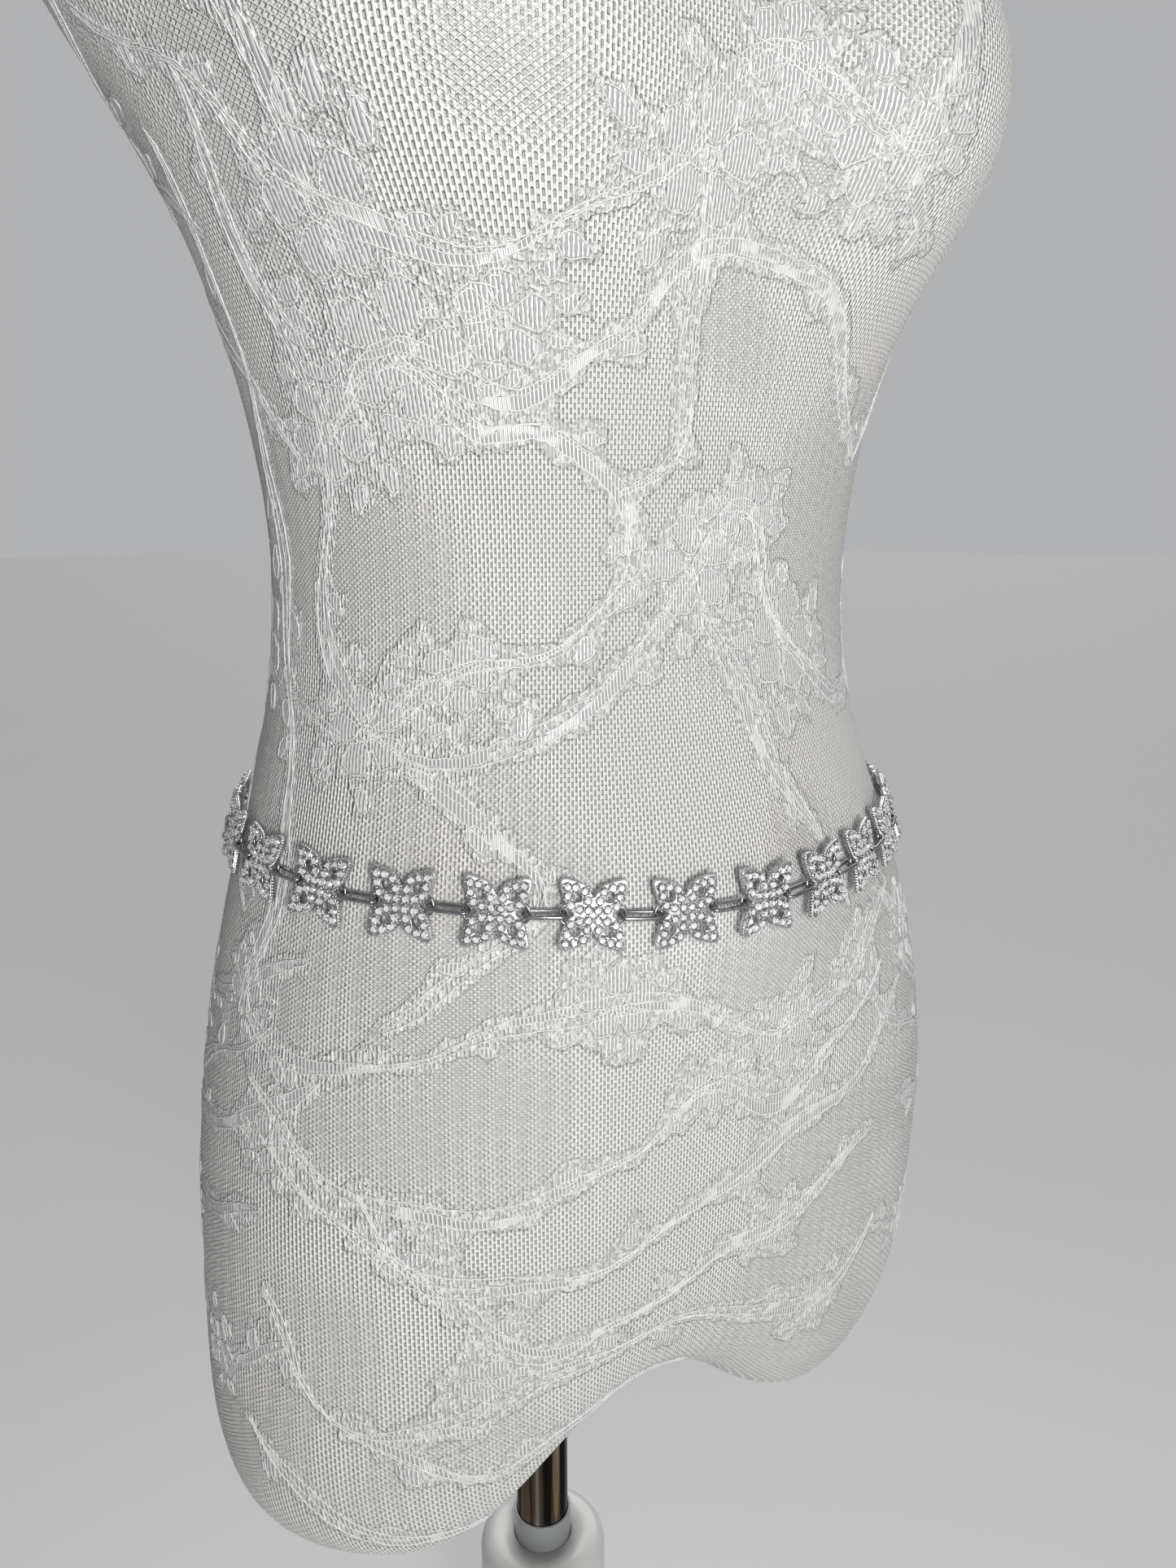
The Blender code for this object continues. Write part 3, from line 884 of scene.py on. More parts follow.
def add_stone(sheet, place, radius, chance):
    """A round stone with a sunken table and two rows of crown facets."""
    made = bmesh.ops.create_cone(
        sheet, cap_ends=True, segments=8, radius1=radius, radius2=radius * TABLE_SHARE, depth=STONE_TALL
    )
    verts = made["verts"]
    top = [vert for vert in verts if vert.co.z > 0]
    bmesh.ops.rotate(sheet, verts=top, cent=(0, 0, 0), matrix=Matrix.Rotation(math.pi / 8, 3, "Z"))
    faces = list(dict.fromkeys(face for vert in verts for face in vert.link_faces))
    table = [face for face in faces if all(vert in top for vert in face.verts)]
    sides = [face for face in faces if len(face.verts) == 4]
    bmesh.ops.triangulate(sheet, faces=sides)
    poked = bmesh.ops.poke(sheet, faces=table, offset=-TABLE_DIP)
    # Each face gets a painted brightness, brighter on the table: painted sparkle.
    sparkle_tones = sheet.faces.layers.float["facet"]
    for face in dict.fromkeys(face for vert in verts + poked["verts"] for face in vert.link_faces):
        centre = face.calc_center_median()
        face[sparkle_tones] = chance.uniform(0.5, 1.0) if centre.z > 0.2 else chance.uniform(0.0, 0.9)
    bmesh.ops.transform(sheet, matrix=place, verts=verts + poked["verts"])


def link_stone_mesh(name, seed, belt):
    """All the stones of one link in mm, each turned and tipped a little its own way."""
    chance = random.Random(seed)
    sheet = bmesh.new()
    sheet.faces.layers.float.new("facet")
    for x, y in link_stones():
        place = Matrix.Translation((x, y, LINK_THICK / 2 + STONE_LIFT))
        tip = (-STONE_TIP, STONE_TIP)
        for low, high, axis in ((*tip, "X"), (*tip, "Y"), (0.0, math.pi, "Z")):
            place = place @ Matrix.Rotation(chance.uniform(low, high), 4, axis)
        add_stone(sheet, place, belt.stone_width / MM / 2, chance)
    return mesh_from(sheet, name)


def ring_casting(belt):
    """One oval ring in mm, with the cut where its wire was closed."""
    radius = belt.ring_wire / MM / 2
    ends = []
    for end in (1, -1):
        for step in range(13):
            turn = math.pi * (step / 12 - 0.5)
            x = RING_LONG - RING_SHORT + RING_SHORT * math.cos(turn)
            ends.append((end * x, 0.0, end * RING_SHORT * math.sin(turn)))
    path = [(-RING_CUT, 0.0, RING_SHORT), *ends[13:], *ends[:13], (RING_CUT, 0.0, RING_SHORT)]
    return thread_mesh("oval_ring", [(path, radius, False)], 12)


def hook_casting(belt):
    middle = HOOK_HALF - HOOK_BEND
    path = []
    for step in range(19):
        turn = math.radians(5 - 275 * step / 18)
        path.append((-middle + HOOK_BEND * math.cos(turn), HOOK_BEND * math.sin(turn), 0.0))
    for step in range(13):
        turn = math.radians(90 - 180 * step / 12)
        path.append((middle + HOOK_BEND * math.cos(turn), HOOK_BEND * math.sin(turn), 0.0))
    path.append((HOOK_TIP, -HOOK_BEND, 0.0))
    return thread_mesh("back_hook_wire", [(path, HOOK_WIRE, False)], 12)


def placed(mesh, name, place):
    copy = mesh.copy()
    copy.name = name
    copy.transform(matrix_of(place))
    return copy


# The form's cover and its lace


class Cover:
    """The form's cover as one smooth surface, on which lace is laid by angle and height."""

    middle = Vector((0.008, -0.015, 0.0))
    piece = None
    tree = None

    @classmethod
    def build(cls, name):
        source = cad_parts["dress_form"]
        sheet = bmesh.new()
        sheet.from_mesh(source.data)
        bmesh.ops.remove_doubles(sheet, verts=sheet.verts, dist=1e-6)
        bmesh.ops.join_triangles(
            sheet, faces=sheet.faces, angle_face_threshold=0.7, angle_shape_threshold=0.7, cmp_seam=False
        )
        helper = bpy.data.objects.new("cover_helper", mesh_from(sheet, "cover_helper"))
        bpy.context.scene.collection.objects.link(helper)
        smoother = helper.modifiers.new("smoother", "SUBSURF")
        smoother.levels = smoother.render_levels = 2
        mesh = shown_mesh(helper)
        mesh.name = name
        cls.mark(mesh)
        return mesh

    @classmethod
    def around(cls, point):
        return math.atan2(point[1] - cls.middle.y, point[0] - cls.middle.x) / (2 * math.pi) % 1.0

    @classmethod
    def mark(cls, mesh):
        """Writes each corner's turn about the form and its height in mm to a UV map."""
        layer = mesh.uv_layers.new(name="round_and_up")
        places = [cls.around(vert.co) for vert in mesh.vertices]
        for face in mesh.polygons:
            values = [places[index] for index in face.vertices]
            wraps = max(values) - min(values) > 0.5
            for corner, value in zip(face.loop_indices, values):
                height = mesh.vertices[mesh.loops[corner].vertex_index].co.z
                turn = value + 1.0 if wraps and value < 0.5 else value
                layer.data[corner].uv = (turn, (height - WAIST) / MM)

    @classmethod
    def lay(cls, degrees, height, lift):
        """The point over the cover at an angle and a height in mm, lifted off it by so many mm."""
        heading = Vector((math.cos(math.radians(degrees)), math.sin(math.radians(degrees)), 0.0))
        start = cls.middle + heading * 0.4 + Vector((0, 0, WAIST + height * MM))
        hit, normal, _, _ = cls.tree.ray_cast(start, -heading)
        if hit is None or (hit - cls.middle).dot(heading) < NEAREST_TO_MIDDLE:
            return None
        return hit + normal * (lift * MM)

    @classmethod
    def radius(cls, degrees, height):
        hit = cls.lay(degrees, height, 0.0)
        if hit is None:
            return None
        return math.hypot(hit.x - cls.middle.x, hit.y - cls.middle.y) / MM


def turned_angle(degrees, shift, flip):
    return REPEAT_MIDDLE + shift + flip * (degrees - REPEAT_MIDDLE)


class Lace:
    """Gathers the cords, the painted shadow lines under the motifs' edges and the satin patches of one
    repeat of the lace.
    """

    def __init__(self, looks, seed):
        self.looks = looks
        self.cords = []
        self.gaps = []
        self.sheet = bmesh.new()
        self.chance = random.Random(seed)

    def runs(self, flat, lift):
        """The stretches of a line that lie on the cover."""
        found = [[]]
        for degrees, height in flat:
            point = Cover.lay(degrees, height, lift)
            if point is None or (found[-1] and (point - found[-1][-1]).length > LONGEST_STEP):
                found.append([])
            if point is not None:
                found[-1].append(point)
        return [run for run in found if len(run) > 2]

    def cord(self, flat, closed=False, thick=1.0):
        for run in self.runs(flat, self.looks.cord_width / MM * 0.35):
            self.cords.append((run, self.looks.cord_width / 2 * thick, closed and len(run) == len(flat)))

    # Lays a thin dark thread: a painted shadow line under a motif's edge.
    def gap(self, flat):
        for run in self.runs(flat, 0.02):
            self.gaps.append((run, self.looks.cord_width * 0.26, False))

    def patch(self, flat, crown, finish=SATIN):
        """A thin raised patch inside a closed outline of angles and heights."""
        places = [Cover.lay(degrees, height, 0.12) for degrees, height in flat]
        middle = np.mean(np.array(flat), axis=0)
        centre = Cover.lay(middle[0], middle[1], crown)
        if centre is None or any(place is None for place in places):
            return
        if any((a - b).length > LONGEST_STEP for a, b in zip(places, places[1:])):
            return
        made = bmesh.ops.create_circle(
            self.sheet, cap_ends=True, cap_tris=True, segments=len(flat), radius=1.0
        )
        rim = [vert for vert in made["verts"] if vert.co.length >= 0.5]
        rim.sort(key=lambda vert: math.atan2(vert.co.y, vert.co.x) % (2 * math.pi))
        for vert in made["verts"]:
            if vert.co.length < 0.5:
                vert.co = centre
        for vert, place in zip(rim, places):
            vert.co = place
        for face in {face for vert in made["verts"] for face in vert.link_faces}:
            face.material_index = finish

    def local(self, centre, radius, turn, shape):
        """Turns mm about a centre into angles and heights."""
        cosine, sine = math.cos(turn), math.sin(turn)
        flat = []
        for a, b in shape:
            across, up = a * cosine - b * sine, a * sine + b * cosine
            flat.append((centre[0] + math.degrees(across / radius), centre[1] + up))
        return flat

    def motif(self, centre, radius, heading, shape, crown, grow):
        """A satin shape with its cord, and beside the cord a dark thread along the downward side of its
        outline: a painted shadow line.
        """
        middle = np.mean(np.array(shape), axis=0)
        shape = [np.array(point) + [self.chance.uniform(-0.5, 0.5) for _ in range(2)] for point in shape]
        inner = [middle + (point - middle) * 0.88 for point in shape]
        outer = [middle + (point - middle) * grow for point in shape]
        self.cord(self.local(centre, radius, heading, shape), True)
        self.patch(self.local(centre, radius, heading, inner), crown)
        # Only the downward-facing stretches of the outline get the painted shadow line.
        run = []
        for point, away in zip(outer + outer[:1], shape + shape[:1]):
            away = away - middle
            rise = away[0] * math.sin(heading) + away[1] * math.cos(heading)
            if rise < -0.1 * np.linalg.norm(away):
                run.append(point)
            else:
                self.gap(self.local(centre, radius, heading, run))
                run = []
        self.gap(self.local(centre, radius, heading, run))

    def leaf(self, centre, radius, heading, long, wide):
        shape = []
        for t in turns(LEAF_POINTS):
            tooth = 1.0 + 0.12 * math.cos(8 * t)
            across = wide / 2 * math.sin(t) * (1.0 - 0.35 * math.cos(t)) * tooth
            shape.append((long / 2 * (1 + math.cos(t)), across))
        self.motif(centre, radius, heading, shape, 0.4, 1.0 + 1.3 / wide)

    def petal(self, centre, radius, heading, width):
        shape = []
        for t in turns(PETAL_POINTS):
            scallop = 1.0 + 0.09 * math.cos(5 * t) * (1 + math.cos(t)) / 2
            along = width * (0.31 + 0.20 * math.cos(t) * scallop)
            shape.append((along, width * 0.165 * math.sin(t) * (1 + 0.35 * math.cos(t)) * scallop))
        self.motif(centre, radius, heading, shape, 0.45, 1.0 + 4.0 / width)

    def blossom(self, centre, radius, turn, width):
        for heading in turns(5):
            self.petal(centre, radius, turn + heading, width)
        heart = [(width * 0.09 * math.cos(t), width * 0.09 * math.sin(t)) for t in turns(8)]
        self.cord(self.local(centre, radius, turn, heart), True, 1.1)

    def cluster(self, degrees, height, width, turn):
        radius = Cover.radius(degrees, height)
        if radius is None:
            return
        centre = (degrees, height)
        turn = math.radians(turn)
        self.blossom(centre, radius, turn, width)
        for spoke in turns(9):
            heading = turn + 0.6 + spoke + self.chance.uniform(-0.3, 0.3)
            reach = width * self.chance.uniform(0.44, 0.72)
            at = self.local(centre, radius, heading, [(reach, 0.0)])[0]
            size = width * self.chance.uniform(0.2, 0.34)
            self.leaf(at, radius, heading + self.chance.uniform(-0.9, 0.9), size, size * 0.5)

    def walk(self, points):
        """Places along a line: angle, height, mm per degree, way along, mm from its start."""
        places = []
        travelled = 0.0
        for degrees, height in smooth_loop(points, 80, False):
            radius = Cover.radius(degrees, height)
            if radius is None:
                continue
            scale = math.radians(1.0) * radius
            if places:
                last = places[-1]
                step = np.array(((degrees - last[0]) * scale, height - last[1]))
                if np.linalg.norm(step) < THREAD_STEP:
                    continue
                travelled += np.linalg.norm(step)
                places.append((degrees, height, scale, step / np.linalg.norm(step), travelled))
            else:
                places.append((degrees, height, scale, np.array((1.0, 0.0)), 0.0))
        return places

    def vine(self, points):
        """Three cords side by side along a line, with stretches of bars between them, and leaves."""
        places = self.walk(points)
        if len(places) < 8:
            return
        total = places[-1][4]
        phases = [self.chance.uniform(0, 6) for _ in range(8)]
        lanes = ([], [], [])
        for degrees, height, scale, along, travelled in places:
            taper = min(1.0, 0.3 + min(travelled, total - travelled) / 30)
            waves = [math.sin(travelled * pace + phase) for pace, phase in zip(LANE_WAVES, phases)]
            gaps = [taper * (LANE_GAP + LANE_SWELL * wave) + LANE_LEAST for wave in waves]
            offset = LANE_SWAY * math.sin(travelled * SWAY_WAVE + phases[3]) - sum(gaps) / 2
            for lane, gap in zip(lanes, (*gaps, 0.0)):
                shift = offset + self.chance.uniform(-LANE_SHAKE, LANE_SHAKE)
                lane.append((degrees - along[1] * shift / scale, height + along[0] * shift))
                offset += gap
        for lane, thick in zip(lanes, (1.0, 0.75, 1.0)):
            self.cord(lane, thick=thick)
        self.bars(places, lanes, phases)
        self.leaves(places)

    def bars(self, places, lanes, phases):
        for k in range(2):
            for start in range(1, len(places) - BAR_RUN, BAR_RUN):
                travelled = places[start][4]
                quick, slow = (travelled * pace for pace in BAR_WAVES)
                if math.sin(quick + phases[4 + k]) + math.sin(slow + phases[k]) < BAR_LEAST:
                    continue
                upper = lanes[k][start : start + BAR_RUN + 1]
                lower = lanes[k + 1][start : start + BAR_RUN + 1]
                self.patch(upper + lower[::-1], 0.25, FENCE)

    def leaves(self, places):
        side = 1
        due = self.chance.uniform(14, 30)
        for degrees, height, scale, along, travelled in places[:-4]:
            if travelled < due:
                continue
            due = travelled + self.chance.uniform(26, 46)
            side = -side
            heading = math.atan2(along[1], along[0]) + side * self.chance.uniform(0.5, 1.0)
            radius = scale / math.radians(1.0)
            at = (degrees - along[1] * side * 2.5 / scale, height + along[0] * side * 2.5)
            long = self.chance.uniform(6.0, 10.5)
            self.leaf(at, radius, heading, long, long * 0.5)


def add_cover(looks):
    mesh = Cover.build("form_cover")
    piece = finished("form_cover", mesh, [cover_finish(looks)], "mast", ("dress_form",))
    bpy.context.view_layer.update()
    Cover.piece = piece
    Cover.tree = BVHTree.FromObject(piece, bpy.context.evaluated_depsgraph_get())


def add_lace(looks):
    finishes = (lace_finish, fence_finish, cord_finish, edge_shadow_finish)
    satin, fence, cord, gap = (make(looks) for make in finishes)
    dots = []
    for copy, (shift, flip) in enumerate(REPEATS):
        lace = Lace(looks, 7 + copy)
        for degrees, height, width, turn in CLUSTERS:
            lace.cluster(turned_angle(degrees, shift, flip), height, width, turn + 17 * copy)
        for points in VINES:
            lace.vine([(turned_angle(degrees, shift, flip), height) for degrees, height in points])
        dots += [point for points, _, _ in lace.cords for point in points]
        cords = thread_mesh("lace_cords", lace.cords, 4)
        finished(f"lace_cords_{copy + 1}", cords, [cord], "mast", ())
        # Dark threads under the motifs' edges: painted shadow lines.
        gaps = thread_mesh("lace_edge_shadows", lace.gaps, 4)
        finished(f"lace_edge_shadows_{copy + 1}", gaps, [gap], "mast", ())
        bmesh.ops.recalc_face_normals(lace.sheet, faces=lace.sheet.faces)
        patches = mesh_from(lace.sheet, "lace_satin")
        Cover.mark(patches)
        finished(f"lace_satin_{copy + 1}", patches, [satin, fence], "mast", ())
    mark_lace(dots)


def mark_lace(dots):
    """Writes to the cover how near each of its points is to the lace's cords."""
    tree = KDTree(len(dots))
    for index, dot in enumerate(dots):
        tree.insert(dot, index)
    tree.balance()
    mesh = Cover.piece.data
    layer = mesh.attributes.new("lace", "FLOAT", "POINT")
    for vert, value in zip(mesh.vertices, layer.data):
        distance = tree.find(vert.co)[2] / MM
        value.value = min(1.0, max(0.0, 1.25 - distance / LACE_HALO))


def add_fuzz(looks):
    """Fine loose hairs that stand off the cover."""
    chance = random.Random(21)
    lines = []
    for _ in range(FUZZ_HAIRS):
        degrees, height = chance.uniform(0, 360), chance.uniform(-350, 330)
        root = Cover.lay(degrees, height, -0.1)
        if root is None:
            continue
        lean, rise = chance.uniform(-0.8, 0.8), chance.uniform(-1.2, 1.2)
        length = chance.uniform(1.2, 3.4)
        radius = Cover.radius(degrees, height)
        points = [root]
        for part in (0.4, 0.75, 1.0):
            bend = part**2
            across = math.degrees(length * lean * bend / radius)
            point = Cover.lay(degrees + across, height + length * rise * bend, length * part * 0.55)
            if point is None:
                break
            points.append(point)
        if len(points) == 4:
            lines.append((points, looks.hair_width / 2, False))
    hairs = thread_mesh("form_fuzz", lines, 4)
    finished("form_fuzz", hairs, [fuzz_finish(looks)], "mast", ())


# Settings


def colour_prop(name, description, default):
    return bpy.props.FloatVectorProperty(
        name=name, description=description, subtype="COLOR", size=3, min=0.0, max=1.0, default=default
    )


def length_prop(name, description, default):
    return bpy.props.FloatProperty(
        name=name, description=description, default=default, min=0.0, unit="LENGTH", precision=5
    )


def amount_prop(name, description, default):
    return bpy.props.FloatProperty(name=name, description=description, default=default)


def count_prop(name, description, default):
    return bpy.props.IntProperty(name=name, description=description, default=default)


class ChainBeltSizes(bpy.types.PropertyGroup):
    stone_width: length_prop("Stone width", "Width of each round stone", 0.0026)
    bead_width: length_prop("Bead width", "Width of the beads that hold the stones", 0.0008)
    flute_pitch: length_prop("Flute pitch", "Distance between the bars on a link's wall", 0.00095)
    ring_wire: length_prop("Ring wire", "Thickness of the oval rings' wire", 0.0015)
    casting_colour: colour_prop("Casting", "Silver-tone link metal", (0.80, 0.80, 0.80))
    # Darker copy of the link metal for the plate's top and the cups: painted shade round the stones.
    shaded_bed_colour: colour_prop("Recess", "Link metal between the stones", (0.54, 0.54, 0.55))
    casting_shadow: colour_prop("Casting shadow", "Tarnish between the stones", (0.22, 0.22, 0.22))
    ring_colour: colour_prop("Ring", "Dark polished ring metal", (0.36, 0.36, 0.37))
    ring_shadow: colour_prop("Ring shadow", "Darker patches on the rings", (0.05, 0.05, 0.05))
    # The stones' bright and dark facets are painted reflections: painted sparkle.
    stone_colour: colour_prop("Stone", "Bright facets of the stones", (0.98, 0.98, 1.0))
    stone_shadow: colour_prop("Stone shadow", "Dark facets of the stones", (0.16, 0.17, 0.20))


class DressFormLooks(bpy.types.PropertyGroup):
    wales: count_prop("Knit ribs", "Ribs of the knit round the form", 560)
    nets: count_prop("Net strands", "Strands of the net round the form", 170)
    net_pitch: amount_prop("Net pitch", "Height of one cell of the net, in millimetres", 3.6)
    cord_width: length_prop("Cord width", "Thickness of the lace's outlining cord", 0.0005)
    hair_width: length_prop("Hair width", "Thickness of the loose hairs", 0.00009)
    knit_colour: colour_prop("Knit", "White of the knit and the net", (0.92, 0.92, 0.90))
    knit_shadow: colour_prop("Knit shadow", "Shade between the knit's ribs", (0.50, 0.50, 0.495))
    knit_tint: colour_prop("Knit tint", "Warmer places of the knit", (0.93, 0.90, 0.855))
    lace_colour: colour_prop("Lace", "White of the lace's thread", (0.86, 0.86, 0.857))
    # Painted shade: the dark in the satin's and bars' gaps and in the shadow lines under the motifs.
    gap_shade_colour: colour_prop("Gap", "Shade in the lace's open edges", (0.33, 0.33, 0.33))


class StandLooks(bpy.types.PropertyGroup):
    # The pole's colours are painted reflections: its darkened chrome and its brown and dark streaks stand
    # for dim surroundings mirrored in it.
    chrome_colour: colour_prop("Chrome", "Brightest streaks of the pole", (0.36, 0.36, 0.36))
    chrome_brown_reflection: colour_prop("Chrome streak", "Brown streaks of the pole", (0.15, 0.10, 0.065))
    chrome_dark_reflection: colour_prop("Chrome shadow", "Dark streaks of the pole", (0.02, 0.02, 0.02))
    white_colour: colour_prop("White", "Hub and base", (0.66, 0.66, 0.65))
    white_shadow: colour_prop("White shadow", "Scuffed places on the hub and base", (0.54, 0.54, 0.53))
    sleeve_colour: colour_prop("Sleeve", "Grey sleeve plastic", (0.30, 0.31, 0.32))
    sleeve_shadow: colour_prop("Sleeve shadow", "Darker places on the sleeve", (0.22, 0.23, 0.24))


class StudioLooks(bpy.types.PropertyGroup):
    floor_colour: colour_prop("Floor", "Plain pale floor", (0.82, 0.82, 0.822))
    floor_shade: colour_prop("Floor shade", "Slightly darker places of the floor", (0.74, 0.74, 0.745))
    key_power: amount_prop("Key light", "Power of the main light in watts", 5.5)
    fill_power: amount_prop("Fill light", "Power of the fill light in watts", 2.0)
    strip_power: amount_prop("Strip light", "Power of the wide flat light over the camera in watts", 1.4)
    glint_power: amount_prop("Glint light", "Power of the small light beside the camera in watts", 0.4)
    sky_strength: amount_prop("Sky light", "Strength of the wide light from above and behind", 1.9)
    backdrop_strength: amount_prop("Backdrop", "Brightness of the plain backdrop", 0.45)
    mirror_strength: amount_prop("Mirrored backdrop", "Brightness of the backdrop in mirrors", 0.30)
    world_strength: amount_prop("Surroundings", "Light from all round", 0.04)


# Operators


class CHAINBELT_OT_cover(bpy.types.Operator):
    """Cover the form with knit and net"""

    bl_idname = "chainbelt.cover"
    bl_label = "Form cover"

    def execute(self, context):
        add_cover(context.scene.dress_form_looks)
        return {"FINISHED"}


class CHAINBELT_OT_lace(bpy.types.Operator):
    """Lay the lace's cords and satin patches over the cover"""

    bl_idname = "chainbelt.lace"
    bl_label = "Lace"

    def execute(self, context):
        if Cover.tree is None:
            raise RuntimeError("the cover comes before the lace")
        add_lace(context.scene.dress_form_looks)
        return {"FINISHED"}


class CHAINBELT_OT_fuzz(bpy.types.Operator):
    """Raise fine hairs from the cover"""

    bl_idname = "chainbelt.fuzz"
    bl_label = "Fuzz"

    def execute(self, context):
        if Cover.tree is None:
            raise RuntimeError("the cover comes before its hairs")
        add_fuzz(context.scene.dress_form_looks)
        return {"FINISHED"}


class CHAINBELT_OT_links(bpy.types.Operator):
    """Cast the links with their cups, beads and side loops"""

    bl_idname = "chainbelt.links"
    bl_label = "Links"

    def execute(self, context):
        belt = context.scene.chain_belt_sizes
        metals = (
            metal_finish("link_cast_silver", belt.casting_colour, belt.casting_shadow, 0.2, 0.6),
            # The darker copy of the cast metal: painted shade between the stones.
            metal_finish("link_shaded_bed_silver", belt.shaded_bed_colour, belt.casting_shadow, 0.3, 0.7),
            metal_finish("link_loop_wire", belt.ring_colour, belt.ring_shadow, 0.1, 0.5),
        )
        casting = link_casting(belt)
        for index, place in enumerate(belt_frames()[0]):
            name = f"link_{index + 1:02d}"
            finished(f"{name}_casting", placed(casting, name, place), metals, "mast", (name,))
        return {"FINISHED"}


class CHAINBELT_OT_stones(bpy.types.Operator):
    """Set the faceted stones in the links' cups"""

    bl_idname = "chainbelt.stones"
    bl_label = "Stones"

    def execute(self, context):
        belt = context.scene.chain_belt_sizes
        glass = stone_finish(belt)
        for index, place in enumerate(belt_frames()[0]):
            name = f"link_{index + 1:02d}_stones"
            mesh = link_stone_mesh(name, index, belt)
            mesh.transform(matrix_of(place))
            finished(name, mesh, [glass], "mast", (), smooth=False)
        return {"FINISHED"}


class CHAINBELT_OT_rings(bpy.types.Operator):
    """Join the links with cut oval rings and the back hook"""

    bl_idname = "chainbelt.rings"
    bl_label = "Rings and hook"

    def execute(self, context):
        belt = context.scene.chain_belt_sizes
        metal = metal_finish("ring_dark_chrome", belt.ring_colour, belt.ring_shadow, 0.12, 0.5)
        _, hook, rings = belt_frames()
        casting = ring_casting(belt)
        for index, place in enumerate(rings):
            name = f"ring_{index + 1:02d}"
            finished(f"{name}_wire", placed(casting, name, place), [metal], "mast", (name,))
        wire = metal_finish("hook_polished_wire", belt.casting_colour, belt.ring_shadow, 0.16, 0.4)
        bent = placed(hook_casting(belt), "hook", hook)
        finished("back_hook_wire", bent, [wire], "mast", ("back_hook",))
        return {"FINISHED"}


class CHAINBELT_OT_stand(bpy.types.Operator):
    """Turn the pole, sleeve, hub, column and base"""

    bl_idname = "chainbelt.stand"
    bl_label = "Stand"

    def execute(self, context):
        looks = context.scene.stand_looks
        chrome = chrome_finish(looks)
        self.tube("pole_tube", "pole", "mast", chrome, "pole_chrome", 0.0, ((1, 0.0012, 5),))
        whites = looks.white_colour, looks.white_shadow
        paint = plastic_finish("hub_white_plastic", *whites, 0.3, 0.00002)
        corners = ((2, 0.0065, 8), (1, 0.0015, 5))
        self.tube("hub_collar", "hub", "stand", paint, "hub_plastic", HUB_BORE, corners, drop=HUB_CROWN)
        greys = looks.sleeve_colour, looks.sleeve_shadow
        paint = plastic_finish("sleeve_grey_plastic", *greys, 0.18, 0.00002)
        corners = ((3, 0.0004, 5), (2, 0.0004, 5))
        self.tube("sleeve_tube", "sleeve", "stand", paint, "sleeve_plastic", SLEEVE_BORE, corners)
        paint = plastic_finish("base_white_paint", *whites, 0.35, 0.00003)
        corners = ((2, 0.005, 8), (1, 0.0015, 5))
        self.tube("base_plate", "base", "stand", paint, "base_paint", 0.0, corners, steps=128)
        corners = ((2, 0.0008, 5), (1, 0.0008, 5))
        self.tube("column_tube", "column", "stand", paint, "column_paint", COLUMN_BORE, corners)
        return {"FINISHED"}

    def tube(self, name, node, body, material, slot, bore, corners, steps=96, drop=0.0):
        """Fills a CAD node's box by turning an outline; a corner is its number, its size and its parts."""
        low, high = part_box(node)
        radius = (high[0] - low[0]) / 2
        profile = [(bore, low[2]), (radius, low[2]), (radius, high[2] - drop), (bore, high[2])]
        for corner, size, parts in corners:
            profile = rounded(profile, corner, size, parts)
        finished(name, turned(name, profile, steps), [material], body, (node,))


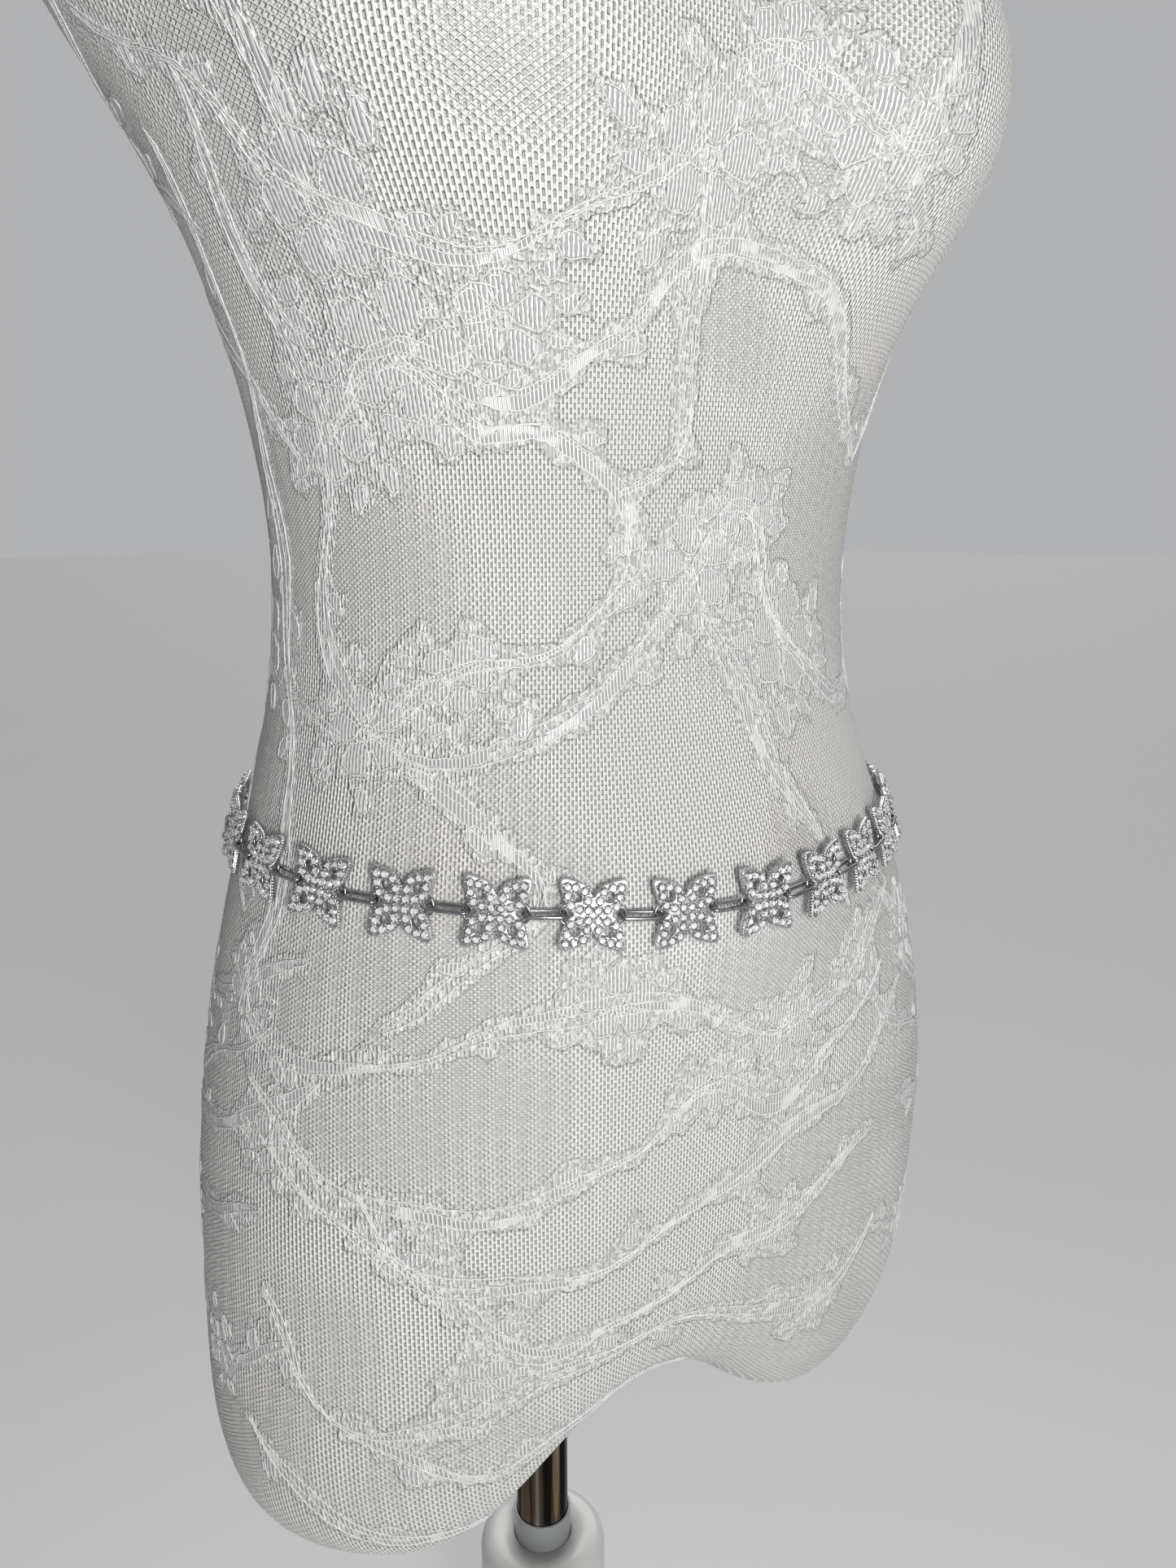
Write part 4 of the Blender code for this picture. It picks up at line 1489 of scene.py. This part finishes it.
class CHAINBELT_OT_studio(bpy.types.Operator):
    """Set the pale floor, the soft lights and the camera"""

    bl_idname = "chainbelt.studio"
    bl_label = "Studio"

    def execute(self, context):
        looks = context.scene.studio_looks
        self.floor(looks)
        self.lights(context.scene, looks)
        self.camera(context.scene)
        return {"FINISHED"}

    def floor(self, looks):
        sheet = bmesh.new()
        bmesh.ops.create_circle(sheet, cap_ends=True, segments=64, radius=FLOOR_RADIUS)
        finish = Finish("studio_floor", looks.floor_colour, 0.8)
        cloud = finish.noise(1.2, 2.0)
        finish.feed("Base Color", finish.mix(cloud * 0.15, looks.floor_colour, looks.floor_shade))
        floor = bpy.data.objects.new("studio_floor", mesh_from(sheet, "studio_floor"))
        floor.data.materials.append(finish.material)
        bpy.context.scene.collection.objects.link(floor)

    def light(self, name, place, size, power, colour, tall=None):
        lamp = bpy.data.lights.new(name, "AREA")
        lamp.shape = "ELLIPSE"
        lamp.size = size
        lamp.size_y = tall or size
        lamp.energy = power
        lamp.color = colour
        holder = bpy.data.objects.new(name, lamp)
        holder.location = place
        holder.rotation_euler = (Vector(LIGHTS_AIM) - Vector(place)).to_track_quat("-Z", "Y").to_euler()
        bpy.context.scene.collection.objects.link(holder)

    def lights(self, scene, looks):
        self.light("key_light", (-0.26, -0.97, 0.80), 0.26, looks.key_power, (1.0, 0.985, 0.955))
        self.light("strip_light", (-0.20, -1.08, 1.12), 1.3, looks.strip_power, WHITE_LIGHT, 0.09)
        self.light("glint_light", (-0.24, -0.56, 0.93), 0.04, looks.glint_power, WHITE_LIGHT)
        self.light("fill_light", (0.9, -1.6, 0.72), 1.2, looks.fill_power, (0.95, 0.97, 1.0))
        sky = bpy.data.lights.new("sky_light", "SUN")
        sky.energy = looks.sky_strength
        sky.angle = math.radians(SKY_ANGLE)
        holder = bpy.data.objects.new("sky_light", sky)
        holder.rotation_euler = Vector(SKY_WAY).to_track_quat("Z", "Y").to_euler()
        scene.collection.objects.link(holder)
        self.surroundings(scene, looks)
        scene.view_settings.view_transform = "Standard"

    def surroundings(self, scene, looks):
        """A plain backdrop that shows, and is mirrored by metal, brighter than it lights the cloth."""
        world = bpy.data.worlds.new("studio_world")
        world.use_nodes = True
        tree = world.node_tree
        background = tree.nodes["Background"]
        background.inputs["Color"].default_value = (0.97, 0.98, 1.0, 1.0)
        rays = tree.nodes.new("ShaderNodeLightPath")
        mirrored = tree.nodes.new("ShaderNodeMapRange")
        mirrored.inputs["To Min"].default_value = looks.world_strength
        mirrored.inputs["To Max"].default_value = looks.mirror_strength
        seen = tree.nodes.new("ShaderNodeMapRange")
        seen.inputs["To Max"].default_value = looks.backdrop_strength
        tree.links.new(rays.outputs["Is Glossy Ray"], mirrored.inputs["Value"])
        tree.links.new(mirrored.outputs[0], seen.inputs["To Min"])
        tree.links.new(rays.outputs["Is Camera Ray"], seen.inputs["Value"])
        tree.links.new(seen.outputs[0], background.inputs["Strength"])
        scene.world = world

    def camera(self, scene):
        yaw, pitch = math.radians(CAMERA_YAW), math.radians(CAMERA_PITCH)
        ahead = Vector((math.sin(yaw), math.cos(yaw), 0.0))
        right = Vector((math.cos(yaw), -math.sin(yaw), 0.0))
        lens = bpy.data.cameras.new("photo_camera")
        lens.sensor_fit = "AUTO"
        lens.sensor_width = CAMERA_SENSOR
        lens.lens = CAMERA_LENS
        lens.clip_start = 0.01
        camera = bpy.data.objects.new("photo_camera", lens)
        camera.location = ahead * -CAMERA_BACK + right * CAMERA_ASIDE + Vector((0, 0, CAMERA_HEIGHT))
        camera.rotation_euler = (math.pi / 2 - pitch, 0.0, -yaw)
        scene.collection.objects.link(camera)
        scene.camera = camera


class CHAINBELT_PT_panel(bpy.types.Panel):
    bl_label = "Chain Belt"
    bl_idname = "CHAINBELT_PT_panel"
    bl_space_type = "VIEW_3D"
    bl_region_type = "UI"
    bl_category = "Chain Belt"

    def draw(self, context):
        for operator in OPERATORS:
            self.layout.operator(operator.bl_idname)


GROUPS = {
    "chain_belt_sizes": ChainBeltSizes,
    "dress_form_looks": DressFormLooks,
    "stand_looks": StandLooks,
    "studio_looks": StudioLooks,
}
OPERATORS = (
    CHAINBELT_OT_cover,
    CHAINBELT_OT_lace,
    CHAINBELT_OT_fuzz,
    CHAINBELT_OT_links,
    CHAINBELT_OT_stones,
    CHAINBELT_OT_rings,
    CHAINBELT_OT_stand,
    CHAINBELT_OT_studio,
)


def register():
    for group in GROUPS.values():
        bpy.utils.register_class(group)
    for name, group in GROUPS.items():
        setattr(bpy.types.Scene, name, bpy.props.PointerProperty(type=group))
    for operator in OPERATORS:
        bpy.utils.register_class(operator)
    bpy.utils.register_class(CHAINBELT_PT_panel)


def unregister():
    bpy.utils.unregister_class(CHAINBELT_PT_panel)
    for operator in reversed(OPERATORS):
        bpy.utils.unregister_class(operator)
    for name, group in GROUPS.items():
        delattr(bpy.types.Scene, name)
        bpy.utils.unregister_class(group)


def main():
    register()
    bpy.ops.chainbelt.cover()
    bpy.ops.chainbelt.lace()
    bpy.ops.chainbelt.fuzz()
    bpy.ops.chainbelt.links()
    bpy.ops.chainbelt.stones()
    bpy.ops.chainbelt.rings()
    bpy.ops.chainbelt.stand()
    bpy.ops.chainbelt.studio()


if __name__ == "__main__":
    main()
